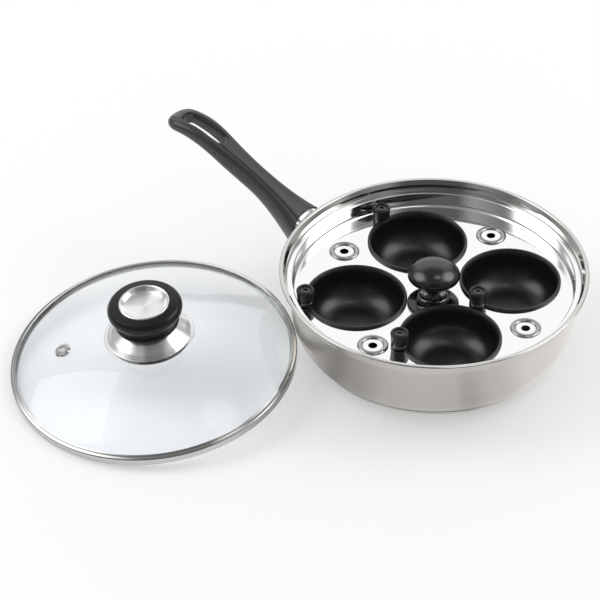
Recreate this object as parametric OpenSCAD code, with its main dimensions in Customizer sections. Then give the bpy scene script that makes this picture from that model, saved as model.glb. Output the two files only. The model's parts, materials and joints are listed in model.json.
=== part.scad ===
// Egg poacher pan. A drawn steel pan with an encapsulated base and a moulded handle
// carries a stepped mirror tray, and the tray carries four non-stick egg cups.
// The glass lid is off: it stands on the floor and leans on the side of the pan.
// Millimetres. The origin is the centre of the underside of the base, +Z is up,
// and the handle points along -X.

/* [Pan] */
// Diameter over the rolled rim
rim_d = 212; // [211:1:236]
// Height from the floor to the top of the rim
pan_h = 59.5; // [56:0.5:90]
// Thickness of the pan's sheet
pan_wall = 1; // [0.8:0.1:1.6]
// Width of the flat lip round the mouth
lip_w = 3; // [2:0.5:5]
// Thickness of the rolled edge of the lip
lip_t = 1.8; // [1.2:0.1:2.4]
// How far the mouth narrows between the lip and the seat of the lid
mouth_flare = 2; // [1:0.5:3]
// Depth of the seat of the lid below the rim
seat_drop = 8; // [6:0.5:12]
// Width of the seat of the lid
seat_w = 2.6; // [2:0.1:4]
// Slope of the side wall from upright, in degrees
wall_draft = 4; // [1:0.5:8]
// Height at which the wall starts to turn in to the base
corner_h = 30; // [24:1:31]

/* [Base] */
// Diameter of the heat-spreading base
base_d = 168; // [152:1:176]
// Thickness of the base
base_t = 3.2; // [2.4:0.1:6]
// Thickness of the steel cap round the aluminium core
base_cap_t = 0.6; // [0.4:0.1:1]

/* [Tray] */
// Thickness of the tray's sheet
tray_t = 0.7; // [0.5:0.1:1.2]
// Depth of the tray's floor below its flange
tray_depth = 10.6; // [8:0.2:14]
// Gap between the tray and the pan round it
tray_gap = 0.4; // [0.3:0.1:1]
// Radius at the foot of the tray's wall
tray_corner_r = 2; // [1:0.5:3]
// Gap between the raised ring of a steam vent and the tray's wall
vent_edge_gap = 11.7; // [8:0.2:14]
// Radius of the raised ring round a vent
vent_ring_r = 10.6; // [8:0.2:12]
// Width of the raised ring
vent_ring_w = 3.9; // [2:0.1:4.5]
// Height of the raised ring
vent_ring_h = 1.2; // [0.6:0.1:2]
// Diameter of the vent's hole
vent_hole_d = 6.2; // [4:0.2:8]

/* [Cups] */
// Gap between the outermost thumb knob and the tray's wall
cup_edge_gap = 1.1; // [0.5:0.1:1.8]
// Diameter over the rim of a cup
cup_rim_d = 70; // [62:0.5:70.5]
// Width of the rolled rim, from the body of the cup outwards
cup_rim_w = 2.4; // [1.6:0.1:4]
// Height of the rolled rim above the tray
cup_rim_h = 1.8; // [1.4:0.1:2.6]
// Depth of the inside of a cup
cup_depth = 25; // [20:0.5:32]
// Wall thickness of a cup
cup_wall = 0.9; // [0.6:0.1:1.2]
// Radius of the flat floor of a cup, measured outside
cup_floor_r = 16; // [8:0.5:22]
// Gap between a cup and its hole in the tray
cup_gap = 0.5; // [0.3:0.1:0.8]
// Direction of each cup from the pan's axis, in degrees
cup_angles = [225, 135, 45, 315];
// Direction of each thumb knob from the axis of its own cup, in degrees
cup_knob_angles = [225, 170, 263, 229];
// Distance from the edge of a cup out to the axis of its thumb knob
cup_knob_out = 0.2; // [-0.4:0.1:0.3]
// Diameter of a thumb knob near its top
cup_knob_d = 12.6; // [10:0.2:12.8]
// Height of a thumb knob
cup_knob_h = 10; // [8:0.5:14]
// How far a thumb knob narrows towards its foot, on the radius
cup_knob_taper = 0.7; // [0.3:0.1:1.2]
// Thickness of the washer under a thumb knob
cup_washer_t = 0.8; // [0.6:0.1:1.2]
// Thickness of the ear that carries a thumb knob
cup_ear_t = 1.1; // [0.8:0.1:1.2]
// Diameter of the screw of a thumb knob
cup_screw_d = 3; // [2.5:0.1:4]

/* [Tray knob] */
// Diameter of the head of the tray's knob
tray_knob_d = 36; // [28:0.5:37]
// Height of the widest part of the head above the tray
tray_knob_waist_h = 12.4; // [10:0.2:16]
// Rise of the dome above the widest part
tray_knob_dome_h = 9.4; // [6:0.2:12]
// Diameter of the head where it meets its collar
tray_neck_d = 20; // [18:0.5:21]
// Diameter of the foot of the bright collar under the head
tray_collar_d = 15; // [14:0.5:17]
// Height of the collar
tray_collar_h = 6.6; // [5:0.2:7.4]
// Diameter of the screw that holds the knob from below
tray_screw_d = 4; // [3:0.5:5]

/* [Handle] */
// Gap between the rim and the end of the grip
grip_gap = 2.2; // [1.6:0.1:4]
// Length of the grip beyond the rim
grip_len = 118; // [112:1:150]
// Height of the top of the grip above the rim, where it meets the pan
grip_root_rise = 1.2; // [0:0.2:4]
// Slope of the grip where it leaves the pan, as rise over run
grip_slope = 0.49; // [0.3:0.01:0.6]
// Length of the straight slope before the grip bends level
grip_straight = 73; // [66:1:76]
// Distance from the end of the straight slope to the highest point
grip_crown_run = 28; // [24:1:34]
// Width of the grip at the pan
grip_root_w = 34; // [28:0.5:40]
// Width of the grip at its waist
grip_waist_w = 16.2; // [15:0.2:20]
// Width of the grip where the palm holds it
grip_palm_w = 24; // [21:0.2:28]
// Height of the grip at the pan
grip_root_h = 27; // [24:0.5:32]
// Height of the grip at its waist
grip_waist_h = 18; // [16:0.5:20]
// Height of the grip where the palm holds it
grip_palm_h = 15; // [13:0.5:18]
// Width of the hanging slot
slot_w = 10; // [9:0.2:13.4]
// Length of the hanging slot
slot_len = 36; // [26:1:38]
// Distance from the tip of the grip to the hanging slot
slot_inset = 12; // [10:0.5:14]
// Diameter of the long bolt that holds the grip
bolt_d = 5; // [4:0.5:5]

/* [Lid] */
// Gap between the lid and the mouth of the pan that it drops into
lid_gap = 2.5; // [1:0.1:3]
// Height of the lid's band
band_h = 5; // [4.8:0.1:8]
// Width of the band where it laps over the glass
band_lap = 3.8; // [3.4:0.2:6]
// Width of the band where it folds in under the glass
band_foot = 6; // [3.4:0.2:7]
// Thickness of the band's sheet
band_t = 0.8; // [0.5:0.1:1]
// Thickness of the glass
glass_t = 3; // [2.4:0.1:3.2]
// Height of the top of the glass above the bottom of the lid
dome_h = 27.3; // [22:0.1:34]
// Distance from the lid's axis to its steam vent
lid_vent_pitch = 60; // [50:1:80]
// Direction from the lid's axis to its steam vent, in degrees
lid_vent_angle = 218.5; // [180:0.5:260]
// Diameter of the eyelet in the steam vent
eyelet_d = 12; // [9:0.2:14]
// Diameter of the hole through the eyelet
eyelet_hole_d = 5; // [3:0.2:5.6]
// Lean of the lid against the pan, in degrees
lid_tilt = 6.5; // [3:0.5:8]
// Direction in which the lid's top face leans, in degrees
lid_tilt_angle = -106; // [-120:1:-96]
// Direction from the pan's axis to the lid, in degrees
lid_angle = 227; // [222:1:236]

/* [Lid knob] */
// Diameter of the steel cone at the foot of the knob
cone_d = 62; // [54:1:66]
// Width of the flat rim of the cone
cone_rim_w = 2.6; // [1.6:0.2:4]
// Height of the cone
cone_h = 11; // [8:0.5:14]
// Thickness of the cone's sheet
cone_t = 0.8; // [0.6:0.1:1]
// Diameter of the black grip ring
knob_d = 51; // [46:0.5:56]
// Diameter of the foot of the grip ring
knob_foot_d = 44; // [38:0.5:45]
// Height of the grip ring
knob_h = 18.5; // [16:0.5:24]
// Diameter of the steel cap in the top of the knob
cap_d = 34.6; // [30:0.2:38]
// Depth of the dish in the cap
cap_dish = 3; // [1.5:0.1:3.6]
// Diameter of the screw through the glass
lid_screw_d = 5; // [4:0.5:6]

/* [Hidden] */
$fn = 96;

// Clearance between pieces that are screwed together
seat_gap = 0.1;
// Clearance of a screw in its hole, on the radius
screw_gap = 0.2;
// Extra depth of a cut past the face that it opens
cut = 1;
// Steps along a curved part of an outline
arc_steps = 14;

// Pan radii and heights
rim_r = rim_d / 2;
mouth_r = rim_r - lip_w - mouth_flare;
seat_z = pan_h - seat_drop;
wall_top_r = mouth_r + pan_wall - seat_w;
wall_low_r = wall_top_r - (seat_z - corner_h) * tan(wall_draft);
base_r = base_d / 2;
// The wall turns in to the base on one arc, which leaves the wall upright
corner_dr = wall_low_r - base_r;
corner_dz = corner_h - base_t;
corner_r = (pow(corner_dr, 2) + pow(corner_dz, 2)) / (2 * corner_dr);
corner_x = wall_low_r - corner_r;

// Tray
flange_z = seat_z + tray_t;
tray_z = flange_z - tray_depth;
tray_r = mouth_r - tray_gap;
tray_wall_r = wall_top_r - pan_wall - (seat_z - tray_z) * tan(wall_draft) - tray_gap;
tray_in_r = tray_wall_r - tray_t;
vent_pitch = tray_in_r - vent_edge_gap - vent_ring_r;

// Cups
cup_rim_r = cup_rim_d / 2;
cup_r = cup_rim_r - cup_rim_w;
cup_rim_z = tray_z + cup_rim_h;
cup_base_z = cup_rim_z - cup_depth - cup_wall;
cup_turn_r = cup_r - cup_floor_r;
cup_knob_r = cup_knob_d / 2;
cup_knob_pitch = cup_rim_r + cup_knob_out;
cup_pitch = tray_in_r - cup_edge_gap - cup_knob_r - cup_knob_pitch;
cup_knob_z = cup_rim_z + cup_washer_t;
cup_bore_r = cup_screw_d / 2 + screw_gap;
cup_head_r = 0.3 * cup_knob_d;
cup_head_t = 0.5 * cup_screw_d;
cup_recess_h = 0.12 * cup_knob_h + cup_head_t;
cup_washer_r = cup_knob_r - cup_knob_taper - 0.4;

// Tray knob
tray_knob_r = tray_knob_d / 2;
tray_neck_r = tray_neck_d / 2;
tray_waist_z = tray_z + tray_knob_waist_h;
tray_collar_top = tray_z + tray_collar_h;
tray_bore_r = tray_screw_d / 2 + screw_gap;
tray_screw_top = tray_waist_z;
tray_screw_head_r = tray_screw_d;
tray_screw_head_t = 0.6 * tray_screw_d;

// Handle. Distances along the grip are measured from the rim outwards.
grip_root_z = pan_h + grip_root_rise;
guard_inset = 1.1;
guard_wall = 1.6;
guard_reach = 6;
bracket_t = 1.5;
bracket_w = 0.45 * grip_root_w;
bracket_gap = 0.3;
boss_r = bolt_d / 2 + 2;
boss_reach = 14;
// Distance from the end of the guard back to the end of the bolt
bolt_start = 3;
// Length of the grip's form inside the rim, before its end is cut to a curve
grip_over = 5;
slot_start = grip_len - slot_inset - slot_len;
bolt_slope = atan(grip_slope);
bolt_head_r = 0.9 * bolt_d;
bolt_head_t = 0.6 * bolt_d;
// Section of the grip, from the middle of its top to the middle of its underside, as
// shares of the half width and of the height. A shallow groove edges the top face.
GRIP_SECTION = [[0, 0], [0.3, 0.004], [0.49, 0.02], [0.57, 0.07], [0.64, 0.068], [0.8, 0.115],
    [0.94, 0.23], [1, 0.38], [1, 0.56], [0.95, 0.74], [0.85, 0.88], [0.7, 0.97], [0.5, 1], [0, 1]];

// Side of the lid's grip ring above its waist: share of the way out to the rim, share of the height
LID_GRIP_SIDE = [[0, 0.25], [0.1, 0.3], [0.4, 0.39], [0.7, 0.48], [0.91, 0.58], [1, 0.69],
    [0.96, 0.78], [0.82, 0.86], [0.58, 0.93]];

// Lid. Heights are measured from the bottom of the band along the lid's axis.
lid_r = mouth_r - lid_gap;
band_mid_r = lid_r - band_t;
band_round = 1.5;
band_round_turn = 80;
glass_r = band_mid_r - 0.4;
glass_edge_h = band_h - band_t - 0.2;
dome_rise = dome_h - glass_edge_h;
dome_r = (pow(glass_r, 2) + pow(dome_rise, 2)) / (2 * dome_rise);
lid_screw_r = lid_screw_d / 2;
lid_bore_r = lid_screw_r + screw_gap;
lid_vent_lean = asin(lid_vent_pitch / dome_r);
eyelet_r = eyelet_d / 2;
eyelet_hole_r = eyelet_hole_d / 2;
eyelet_tube_r = eyelet_hole_r + 0.5;
eyelet_lip = 0.8;
cone_r = cone_d / 2;
cone_foot_h = glass_top(cone_r - cone_rim_w) + seat_gap;
cone_top_h = cone_foot_h + cone_h;
knob_r = knob_d / 2;
knob_foot_r = knob_foot_d / 2;
knob_top_h = cone_top_h + knob_h;
cap_r = cap_d / 2;
cap_t = 1;
gasket_t = 1.5;
gasket_r = 10;
lid_washer_t = 1;
gasket_top = glass_top(gasket_r) - glass_t - seat_gap;
lid_screw_head_t = 3;
lid_screw_head_r = 1.2 * lid_screw_d;
// The lid stands on its lowest edge, clear of the rounded side of the pan
lean_gap = 0.1;
lid_z = lid_r * sin(lid_tilt);
lid_lean_h = lid_z * (1 + cos(lid_angle - lid_tilt_angle));
lid_reach = pan_side_r(lid_lean_h + band_h - band_round) + lid_r * cos(lid_tilt) + lean_gap;

// Height of the top of the glass at a distance from the lid's axis
function glass_top(r) = dome_h - dome_r + sqrt(pow(dome_r, 2) - pow(r, 2));
// Outer radius of the pan's side at a height below the seat
function pan_side_r(z) = z > corner_h ? wall_low_r + (z - corner_h) * tan(wall_draft)
    : corner_x + sqrt(pow(corner_r, 2) - pow(corner_h - z, 2));
// Points of an arc round a centre, from one angle to another
function arc(cx, cy, r, from, to, n = arc_steps) =
    [for (i = [0 : n]) let (a = from + (to - from) * i / n) [cx + r * cos(a), cy + r * sin(a)]];
// A smooth step from 0 to 1
function ease(t) = let (u = min(max(t, 0), 1)) u * u * (3 - 2 * u);

// Run of the flare at the root of the grip and of the swell at the palm
grip_waist_at = 0.38 * grip_len;
grip_palm_at = 0.8 * grip_len;
grip_end_r = grip_palm_w / 2;
// The grip gets thinner over its last third
grip_tip_share = 0.68;
function grip_thinning(d) = 1 - (1 - grip_tip_share) * ease((d - 0.66 * grip_len) / (0.34 * grip_len));
function grip_top(d) = grip_root_z + grip_slope * (d < grip_straight ? d
    : d - pow(d - grip_straight, 2) / (2 * grip_crown_run));
function grip_round(d) = d < grip_len - grip_end_r ? 1
    : sqrt(max(0.004, 1 - pow((d - grip_len + grip_end_r) / grip_end_r, 2)));
function grip_w(d) = grip_round(d) * (d < grip_waist_at
    ? grip_waist_w + (grip_root_w - grip_waist_w) * pow(1 - max(d, 0) / grip_waist_at, 2.2)
    : grip_waist_w + (grip_palm_w - grip_waist_w)
        * ease((d - grip_waist_at) / (grip_palm_at - grip_waist_at)));
function grip_h(d) = d < grip_waist_at
    ? grip_waist_h + (grip_root_h - grip_waist_h) * (1 - ease(d / grip_waist_at))
    : (grip_waist_h + (grip_palm_h - grip_waist_h)
        * ease((d - grip_waist_at) / (grip_palm_at - grip_waist_at))) * grip_thinning(d);
// One ring of the grip's surface at distance d, drawn in by an inset all round
function grip_ring(d, inset) = let (
    hw = max(grip_w(d) / 2 - inset, 0.3),
    drop = (1 - grip_round(d)) * grip_h(d) * 0.42,
    h = (grip_h(d) - 2 * inset) * (0.12 + 0.88 * grip_round(d)),
    top = grip_top(d) - inset - drop,
    n = len(GRIP_SECTION))
    concat([for (i = [0 : n - 1]) [-rim_r - d, hw * GRIP_SECTION[i][0], top - h * GRIP_SECTION[i][1]]],
        [for (i = [n - 2 : -1 : 1])
            [-rim_r - d, -hw * GRIP_SECTION[i][0], top - h * GRIP_SECTION[i][1]]]);

// The lofted form of the grip between two distances from the rim
module grip_form(from, to, steps, inset) {
    last = to - from;
    // Rings lie closer together towards the rounded tip
    stations = [for (i = [0 : steps]) from + last * (1 - pow(1 - i / steps, 1.35))];
    rings = [for (d = stations) grip_ring(d, inset)];
    n = len(rings[0]);
    points = [for (r = rings) each r];
    sides = [for (i = [0 : steps - 1], k = [0 : n - 1]) let (m = (k + 1) % n)
        each [[i * n + k, (i + 1) * n + m, i * n + m], [i * n + k, (i + 1) * n + k, (i + 1) * n + m]]];
    start = [[for (k = [0 : n - 1]) k]];
    finish = [[for (k = [n - 1 : -1 : 0]) steps * n + k]];
    polyhedron(points, concat(sides, start, finish), convexity = 8);
}

// A cylinder along the grip's bolt, between two distances from the rim
module along_bolt(from, to, r) {
    start_z = grip_top(0) - grip_root_h * 0.42;
    translate([-rim_r - from, 0, start_z + grip_slope * from])
        rotate([0, -90 + bolt_slope, 0])
            cylinder(h = (to - from) / cos(bolt_slope), r = r, $fn = 32);
}

// The side of the pan between two heights, drawn out by a gap
module pan_side(from, to, gap) {
    translate([0, 0, from]) cylinder(h = to - from, r1 = pan_side_r(from) + gap, r2 = pan_side_r(to) + gap);
}

// Everything inside the pan's outer surface, with a small clearance round it
module pan_envelope(gap) {
    step_z = seat_z - pan_wall - gap;
    lip_z = pan_h - lip_t - gap;
    top_z = pan_h + grip_root_h;
    rotate_extrude() polygon([[0, 0], [wall_low_r + gap, 0], [wall_low_r + gap, corner_h],
        [wall_top_r + gap, step_z], [mouth_r + pan_wall + gap, step_z],
        [mouth_r + pan_wall + gap, lip_z - 2 * pan_wall], [rim_r - lip_w + pan_wall + gap, lip_z],
        [rim_r + gap, lip_z], [rim_r + gap, top_z], [0, top_z]]);
}

// Drawn steel pan: floor, rounded corner, side wall, seat for the lid, flared lip
module pan_body() {
    inner_r = corner_r - pan_wall;
    outer_turn = asin(corner_dz / corner_r);
    inner_turn = asin((corner_dz - pan_wall) / inner_r);
    bead = lip_t / 2;
    color("silver") rotate_extrude() polygon(concat(
        [[0, base_t]],
        arc(corner_x, corner_h, corner_r, -outer_turn, 0),
        [[wall_top_r, seat_z - pan_wall], [mouth_r + pan_wall, seat_z - pan_wall],
            [mouth_r + pan_wall, pan_h - lip_t - 2 * pan_wall],
            [rim_r - lip_w + pan_wall, pan_h - lip_t]],
        arc(rim_r - bead, pan_h - bead, bead, -90, 90, 6),
        [[rim_r - lip_w + 0.3, pan_h], [rim_r - lip_w, pan_h - 0.3],
            [mouth_r + 0.3, pan_h - lip_t - pan_wall],
            [mouth_r, seat_z], [wall_top_r - pan_wall, seat_z]],
        arc(corner_x, corner_h, inner_r, 0, -inner_turn),
        [[0, base_t + pan_wall]]));
}

// Aluminium core of the base, which spreads the heat
module base_core() {
    color("lightgray") translate([0, 0, base_cap_t])
        cylinder(h = base_t - base_cap_t, r = base_r - base_cap_t);
}

// Steel cap pressed round the core
module base_cap() {
    color("gray") difference() {
        rotate_extrude() polygon([[0, 0], [base_r - 0.6, 0], [base_r, 0.6], [base_r, base_t], [0, base_t]]);
        translate([0, 0, base_cap_t]) cylinder(h = base_t, r = base_r - base_cap_t);
    }
}

// Steel plate welded to the wall, with the threaded boss that takes the bolt
module handle_bracket() {
    guard_floor = grip_top(wall_top_r + bracket_t - rim_r) - grip_root_h + guard_inset + guard_wall;
    plate_z = guard_floor + bracket_gap;
    plate_h = seat_z - 2 * pan_wall - plate_z;
    color("silver") difference() {
        union() {
            intersection() {
                pan_side(plate_z, plate_z + plate_h, bracket_t);
                translate([-wall_top_r - bracket_t - cut, -bracket_w / 2, 0])
                    cube([bracket_w, bracket_w, pan_h]);
            }
            along_bolt(wall_low_r - rim_r, boss_reach, boss_r);
        }
        along_bolt(guard_reach - bolt_start - cut, boss_reach + cut, bolt_d / 2 + screw_gap / 2);
        pan_envelope(0);
    }
}

// Bright steel sleeve between the pan and the grip
module flame_guard() {
    color("gainsboro") difference() {
        grip_form(wall_top_r - rim_r - 1, guard_reach, 8, guard_inset);
        grip_form(wall_top_r - rim_r - 2, guard_reach + cut, 8, guard_inset + guard_wall);
        pan_envelope(seat_gap);
    }
}

// Moulded grip: flared at the pan, waisted, swelling to a rounded palm with a slot
module handle_grip() {
    slot_x = -rim_r - slot_start - slot_w / 2;
    slot_run = slot_len - slot_w;
    slot_mid = slot_start + slot_len / 2;
    slot_lean = atan(grip_slope * (1 - max(slot_mid - grip_straight, 0) / grip_crown_run));
    socket_r = boss_r + screw_gap;
    color([0.2, 0.2, 0.21]) difference() {
        grip_form(-grip_over, grip_len, 34, 0);
        cylinder(h = 3 * pan_h, r = rim_r + grip_gap);
        grip_form(-grip_over - cut, guard_reach + seat_gap, 10, guard_inset - seat_gap);
        along_bolt(0, boss_reach + 1, socket_r);
        along_bolt(boss_reach, slot_start + cut, bolt_d / 2 + screw_gap);
        along_bolt(slot_start - bolt_head_t - 1, slot_start + slot_w / 2, bolt_head_r + screw_gap);
        translate([-rim_r - slot_mid, 0, grip_top(slot_mid)]) rotate([0, slot_lean, 0])
            translate([0, 0, -grip_palm_h * 1.6]) linear_extrude(grip_palm_h * 3)
                hull() {
                    for (s = [-1, 1]) translate([s * slot_run / 2, 0]) circle(d = slot_w, $fn = 40);
                }
    }
}

// Long bolt from the slot into the bracket
module handle_bolt() {
    color("gray") {
        along_bolt(guard_reach - bolt_start, slot_start - bolt_head_t / 2, bolt_d / 2);
        along_bolt(slot_start - bolt_head_t, slot_start, bolt_head_r);
    }
}

// Puts a child at each vent: ahead, left, behind and right of the pan's axis
module at_vents() {
    for (a = [0 : 90 : 270]) rotate([0, 0, a]) translate([vent_pitch, 0, 0]) children();
}

// Puts a child at one cup's axis, turned so that +X points to its thumb knob
module at_cup(i) {
    rotate([0, 0, cup_angles[i]]) translate([cup_pitch, 0, 0])
        rotate([0, 0, cup_knob_angles[i] - cup_angles[i]]) children();
}

// Stepped tray: flange on the pan's seat, upright wall, floor with holes and vents
module egg_tray() {
    turn = tray_corner_r + tray_t;
    color("gainsboro") difference() {
        union() {
            rotate_extrude() polygon(concat(
                [[0, tray_z - tray_t]],
                arc(tray_wall_r - turn, tray_z - tray_t + turn, turn, -90, 0, 8),
                [[tray_wall_r, seat_z], [tray_r, seat_z], [tray_r, flange_z], [tray_in_r + 0.6, flange_z],
                    [tray_in_r, flange_z - 0.6]],
                arc(tray_in_r - tray_corner_r, tray_z + tray_corner_r, tray_corner_r, 0, -90, 8),
                [[0, tray_z]]));
            at_vents() translate([0, 0, tray_z - tray_t / 2]) rotate_extrude() polygon(concat(
                [[vent_ring_r - vent_ring_w, 0], [vent_ring_r, 0]],
                [for (a = [0 : 20 : 180]) [vent_ring_r - vent_ring_w / 2 + cos(a) * vent_ring_w / 2,
                    tray_t / 2 + vent_ring_h * sin(a)]]));
        }
        for (i = [0 : 3]) at_cup(i) translate([0, 0, tray_z - tray_t - cut])
            cylinder(h = tray_t + 2 * cut, r = cup_r + cup_gap);
        at_vents() translate([0, 0, tray_z - tray_t - cut])
            cylinder(h = tray_t + 2 * cut, d = vent_hole_d);
        translate([0, 0, tray_z - tray_t - cut]) cylinder(h = tray_t + 2 * cut, r = tray_bore_r);
    }
}

// Glossy mushroom knob that lifts the tray
module tray_knob() {
    foot = tray_collar_top;
    reach = 0.94 * tray_knob_r - tray_neck_r;
    color([0.08, 0.08, 0.09]) difference() {
        rotate_extrude() polygon(concat(
            [[0, foot], [tray_neck_r, foot]],
            [for (a = [0 : 15 : 90]) [tray_neck_r + reach * (1 - cos(a)),
                foot + 0.8 + (tray_waist_z - foot - 2.2) * sin(a)]],
            [for (a = [-10 : 10 : 80]) [tray_knob_r * cos(a),
                tray_waist_z + (a < 0 ? 6 : tray_knob_dome_h) * sin(a)]],
            [[0, tray_waist_z + tray_knob_dome_h]]));
        translate([0, 0, foot - cut])
            cylinder(h = tray_screw_top - foot + cut + screw_gap, r = tray_screw_d / 2 + screw_gap / 2);
    }
}

// Chromed collar that widens from the tray up to the head of the knob
module tray_knob_collar() {
    foot_r = tray_collar_d / 2;
    widening = tray_neck_r + 0.6 - foot_r;
    color("silver") difference() {
        rotate_extrude() polygon(concat(
            [[0, tray_z], [foot_r - 0.3, tray_z], [foot_r, tray_z + 0.3]],
            [for (a = [18 : 18 : 90]) [foot_r + widening * (1 - cos(a)),
                tray_z + 0.3 + (tray_collar_h - 1.3) * sin(a)]],
            [[foot_r + widening, tray_collar_top - 0.5],
                [foot_r + widening - 0.5, tray_collar_top], [0, tray_collar_top]]));
        translate([0, 0, tray_z - cut]) cylinder(h = tray_collar_h + 2 * cut, r = tray_bore_r);
    }
}

// Screw that comes up through the tray and the collar into the knob
module tray_knob_screw() {
    under = tray_z - tray_t;
    color("gray") {
        translate([0, 0, under]) cylinder(h = tray_screw_top - under, r = tray_screw_d / 2, $fn = 32);
        translate([0, 0, under - tray_screw_head_t])
            cylinder(h = tray_screw_head_t, r = tray_screw_head_r, $fn = 48);
    }
}

// Non-stick egg cup with a rolled rim and the ear that carries its thumb knob
module egg_cup(i) {
    ear_r = cup_knob_r - 0.4;
    inner_turn = cup_turn_r - cup_wall;
    turn_z = cup_base_z + cup_turn_r;
    bead = cup_rim_h / 2;
    color([0.1, 0.1, 0.1]) at_cup(i) difference() {
        union() {
            rotate_extrude() polygon(concat(
                [[0, cup_base_z]],
                arc(cup_floor_r, turn_z, cup_turn_r, -90, 0),
                [[cup_r, tray_z], [cup_rim_r - 0.4, tray_z], [cup_rim_r, tray_z + 0.4]],
                arc(cup_rim_r - bead, cup_rim_z - bead, bead, 0, 90, 5),
                [[cup_r - cup_wall + 0.7, cup_rim_z], [cup_r - cup_wall, cup_rim_z - 0.7]],
                arc(cup_floor_r, turn_z, inner_turn, 0, -90),
                [[0, cup_base_z + cup_wall]]));
            translate([0, 0, cup_rim_z - cup_ear_t]) linear_extrude(cup_ear_t) difference() {
                union() {
                    translate([cup_knob_pitch, 0]) circle(r = ear_r, $fn = 48);
                    translate([cup_r, -ear_r]) square([cup_knob_pitch - cup_r, 2 * ear_r]);
                }
                circle(r = cup_r - cup_wall / 2);
            }
        }
        translate([cup_knob_pitch, 0, tray_z]) cylinder(h = cup_rim_h + cut, r = cup_bore_r, $fn = 32);
    }
}

// Black thumb knob with a sunk seat for its screw
module cup_knob(i) {
    top = cup_knob_z + cup_knob_h;
    foot_r = cup_knob_r - cup_knob_taper;
    color([0.15, 0.15, 0.16]) at_cup(i) translate([cup_knob_pitch, 0, 0]) difference() {
        rotate_extrude($fn = 64) polygon([[0, cup_knob_z], [foot_r - 0.5, cup_knob_z],
            [foot_r, cup_knob_z + 0.5], [cup_knob_r - 0.2, top - 3.2], [cup_knob_r, top - 1.8],
            [cup_knob_r - 0.2, top - 0.9], [cup_knob_r - 0.8, top - 0.25], [cup_knob_r - 1.6, top], [0, top]]);
        translate([0, 0, top - cup_recess_h]) cylinder(h = cup_recess_h + cut, r = cup_head_r, $fn = 48);
        translate([0, 0, cup_knob_z - cut]) cylinder(h = cup_knob_h, r = cup_bore_r, $fn = 32);
    }
}

// Bright washer between the ear and the thumb knob
module cup_washer(i) {
    color("silver") at_cup(i) translate([cup_knob_pitch, 0, cup_rim_z]) difference() {
        cylinder(h = cup_washer_t, r = cup_washer_r, $fn = 64);
        translate([0, 0, -cut]) cylinder(h = cup_washer_t + 2 * cut, r = cup_bore_r, $fn = 32);
    }
}

// Socket screw down through the thumb knob into the ear
module cup_screw(i) {
    seat = cup_knob_z + cup_knob_h - cup_recess_h;
    foot = cup_rim_z - cup_ear_t;
    color("dimgray") at_cup(i) translate([cup_knob_pitch, 0, 0]) difference() {
        union() {
            translate([0, 0, foot]) cylinder(h = seat - foot + cup_head_t / 2, d = cup_screw_d, $fn = 32);
            translate([0, 0, seat]) cylinder(h = cup_head_t, r = cup_head_r - screw_gap, $fn = 48);
        }
        translate([0, 0, seat + cup_head_t * 0.4])
            cylinder(h = cup_head_t, r = cup_head_r * 0.5, $fn = 6);
    }
}

// Puts the lid's own frame where it stands: leaning back, its lowest edge on the floor
module lid_place() {
    rotate([0, 0, lid_angle]) translate([lid_reach, 0, lid_z])
        rotate([0, 0, lid_tilt_angle - lid_angle]) rotate([0, lid_tilt, 0])
            rotate([0, 0, lid_angle - lid_tilt_angle]) children();
}

// Puts a child on the glass at the steam vent, square to the dome
module at_lid_vent() {
    rotate([0, 0, lid_vent_angle - lid_angle]) translate([lid_vent_pitch, 0, glass_top(lid_vent_pitch)])
        rotate([0, lid_vent_lean, 0]) children();
}

// Domed tempered glass with holes for the knob's screw and the eyelet
module lid_glass() {
    steps = 24;
    color([0.75, 0.85, 0.9, 0.35]) lid_place() difference() {
        rotate_extrude() polygon(concat(
            [for (i = [0 : steps]) let (r = glass_r * i / steps) [r, glass_top(r)]],
            [[glass_r, glass_top(glass_r) - glass_t + 0.6], [glass_r - 0.6, glass_top(glass_r - 0.6) - glass_t]],
            [for (i = [steps - 1 : -1 : 0]) let (r = glass_r * i / steps) [r, glass_top(r) - glass_t]]));
        translate([0, 0, dome_h - glass_t - cut]) cylinder(h = glass_t + 2 * cut, r = lid_bore_r, $fn = 48);
        at_lid_vent() translate([0, 0, -glass_t - cut])
            cylinder(h = glass_t + 2 * cut, r = eyelet_tube_r + screw_gap, $fn = 48);
    }
}

// Steel band rolled round the edge of the glass
module lid_band() {
    lap_r = lid_r - band_lap;
    lap_h = glass_top(lap_r) + seat_gap;
    edge_h = glass_top(glass_r) + seat_gap;
    foot_r = lid_r - band_foot;
    color("silver") lid_place() rotate_extrude() polygon(concat(
        [[lid_r, 0]], arc(lid_r - band_round, band_h - band_round, band_round, 0, band_round_turn, 6),
        [[lap_r + 0.3, lap_h + band_t], [lap_r, lap_h + band_t / 2], [lap_r, lap_h],
            [band_mid_r - 0.2, edge_h], [band_mid_r, edge_h - 0.2], [band_mid_r, band_t],
            [foot_r, band_t], [foot_r, 0]]));
}

// Steel eyelet that lines the steam vent
module lid_vent_eyelet() {
    color("silver") lid_place() at_lid_vent() rotate_extrude($fn = 64) polygon([
        [eyelet_hole_r, eyelet_lip], [eyelet_hole_r + 0.5, eyelet_lip + 0.5], [eyelet_r - 1.2, eyelet_lip + 0.4],
        [eyelet_r, seat_gap + 0.3], [eyelet_r, seat_gap], [eyelet_tube_r, seat_gap],
        [eyelet_tube_r, -glass_t - seat_gap], [eyelet_r - 2, -glass_t - seat_gap],
        [eyelet_r - 2, -glass_t - eyelet_lip], [eyelet_hole_r, -glass_t - eyelet_lip]]);
}

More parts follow.
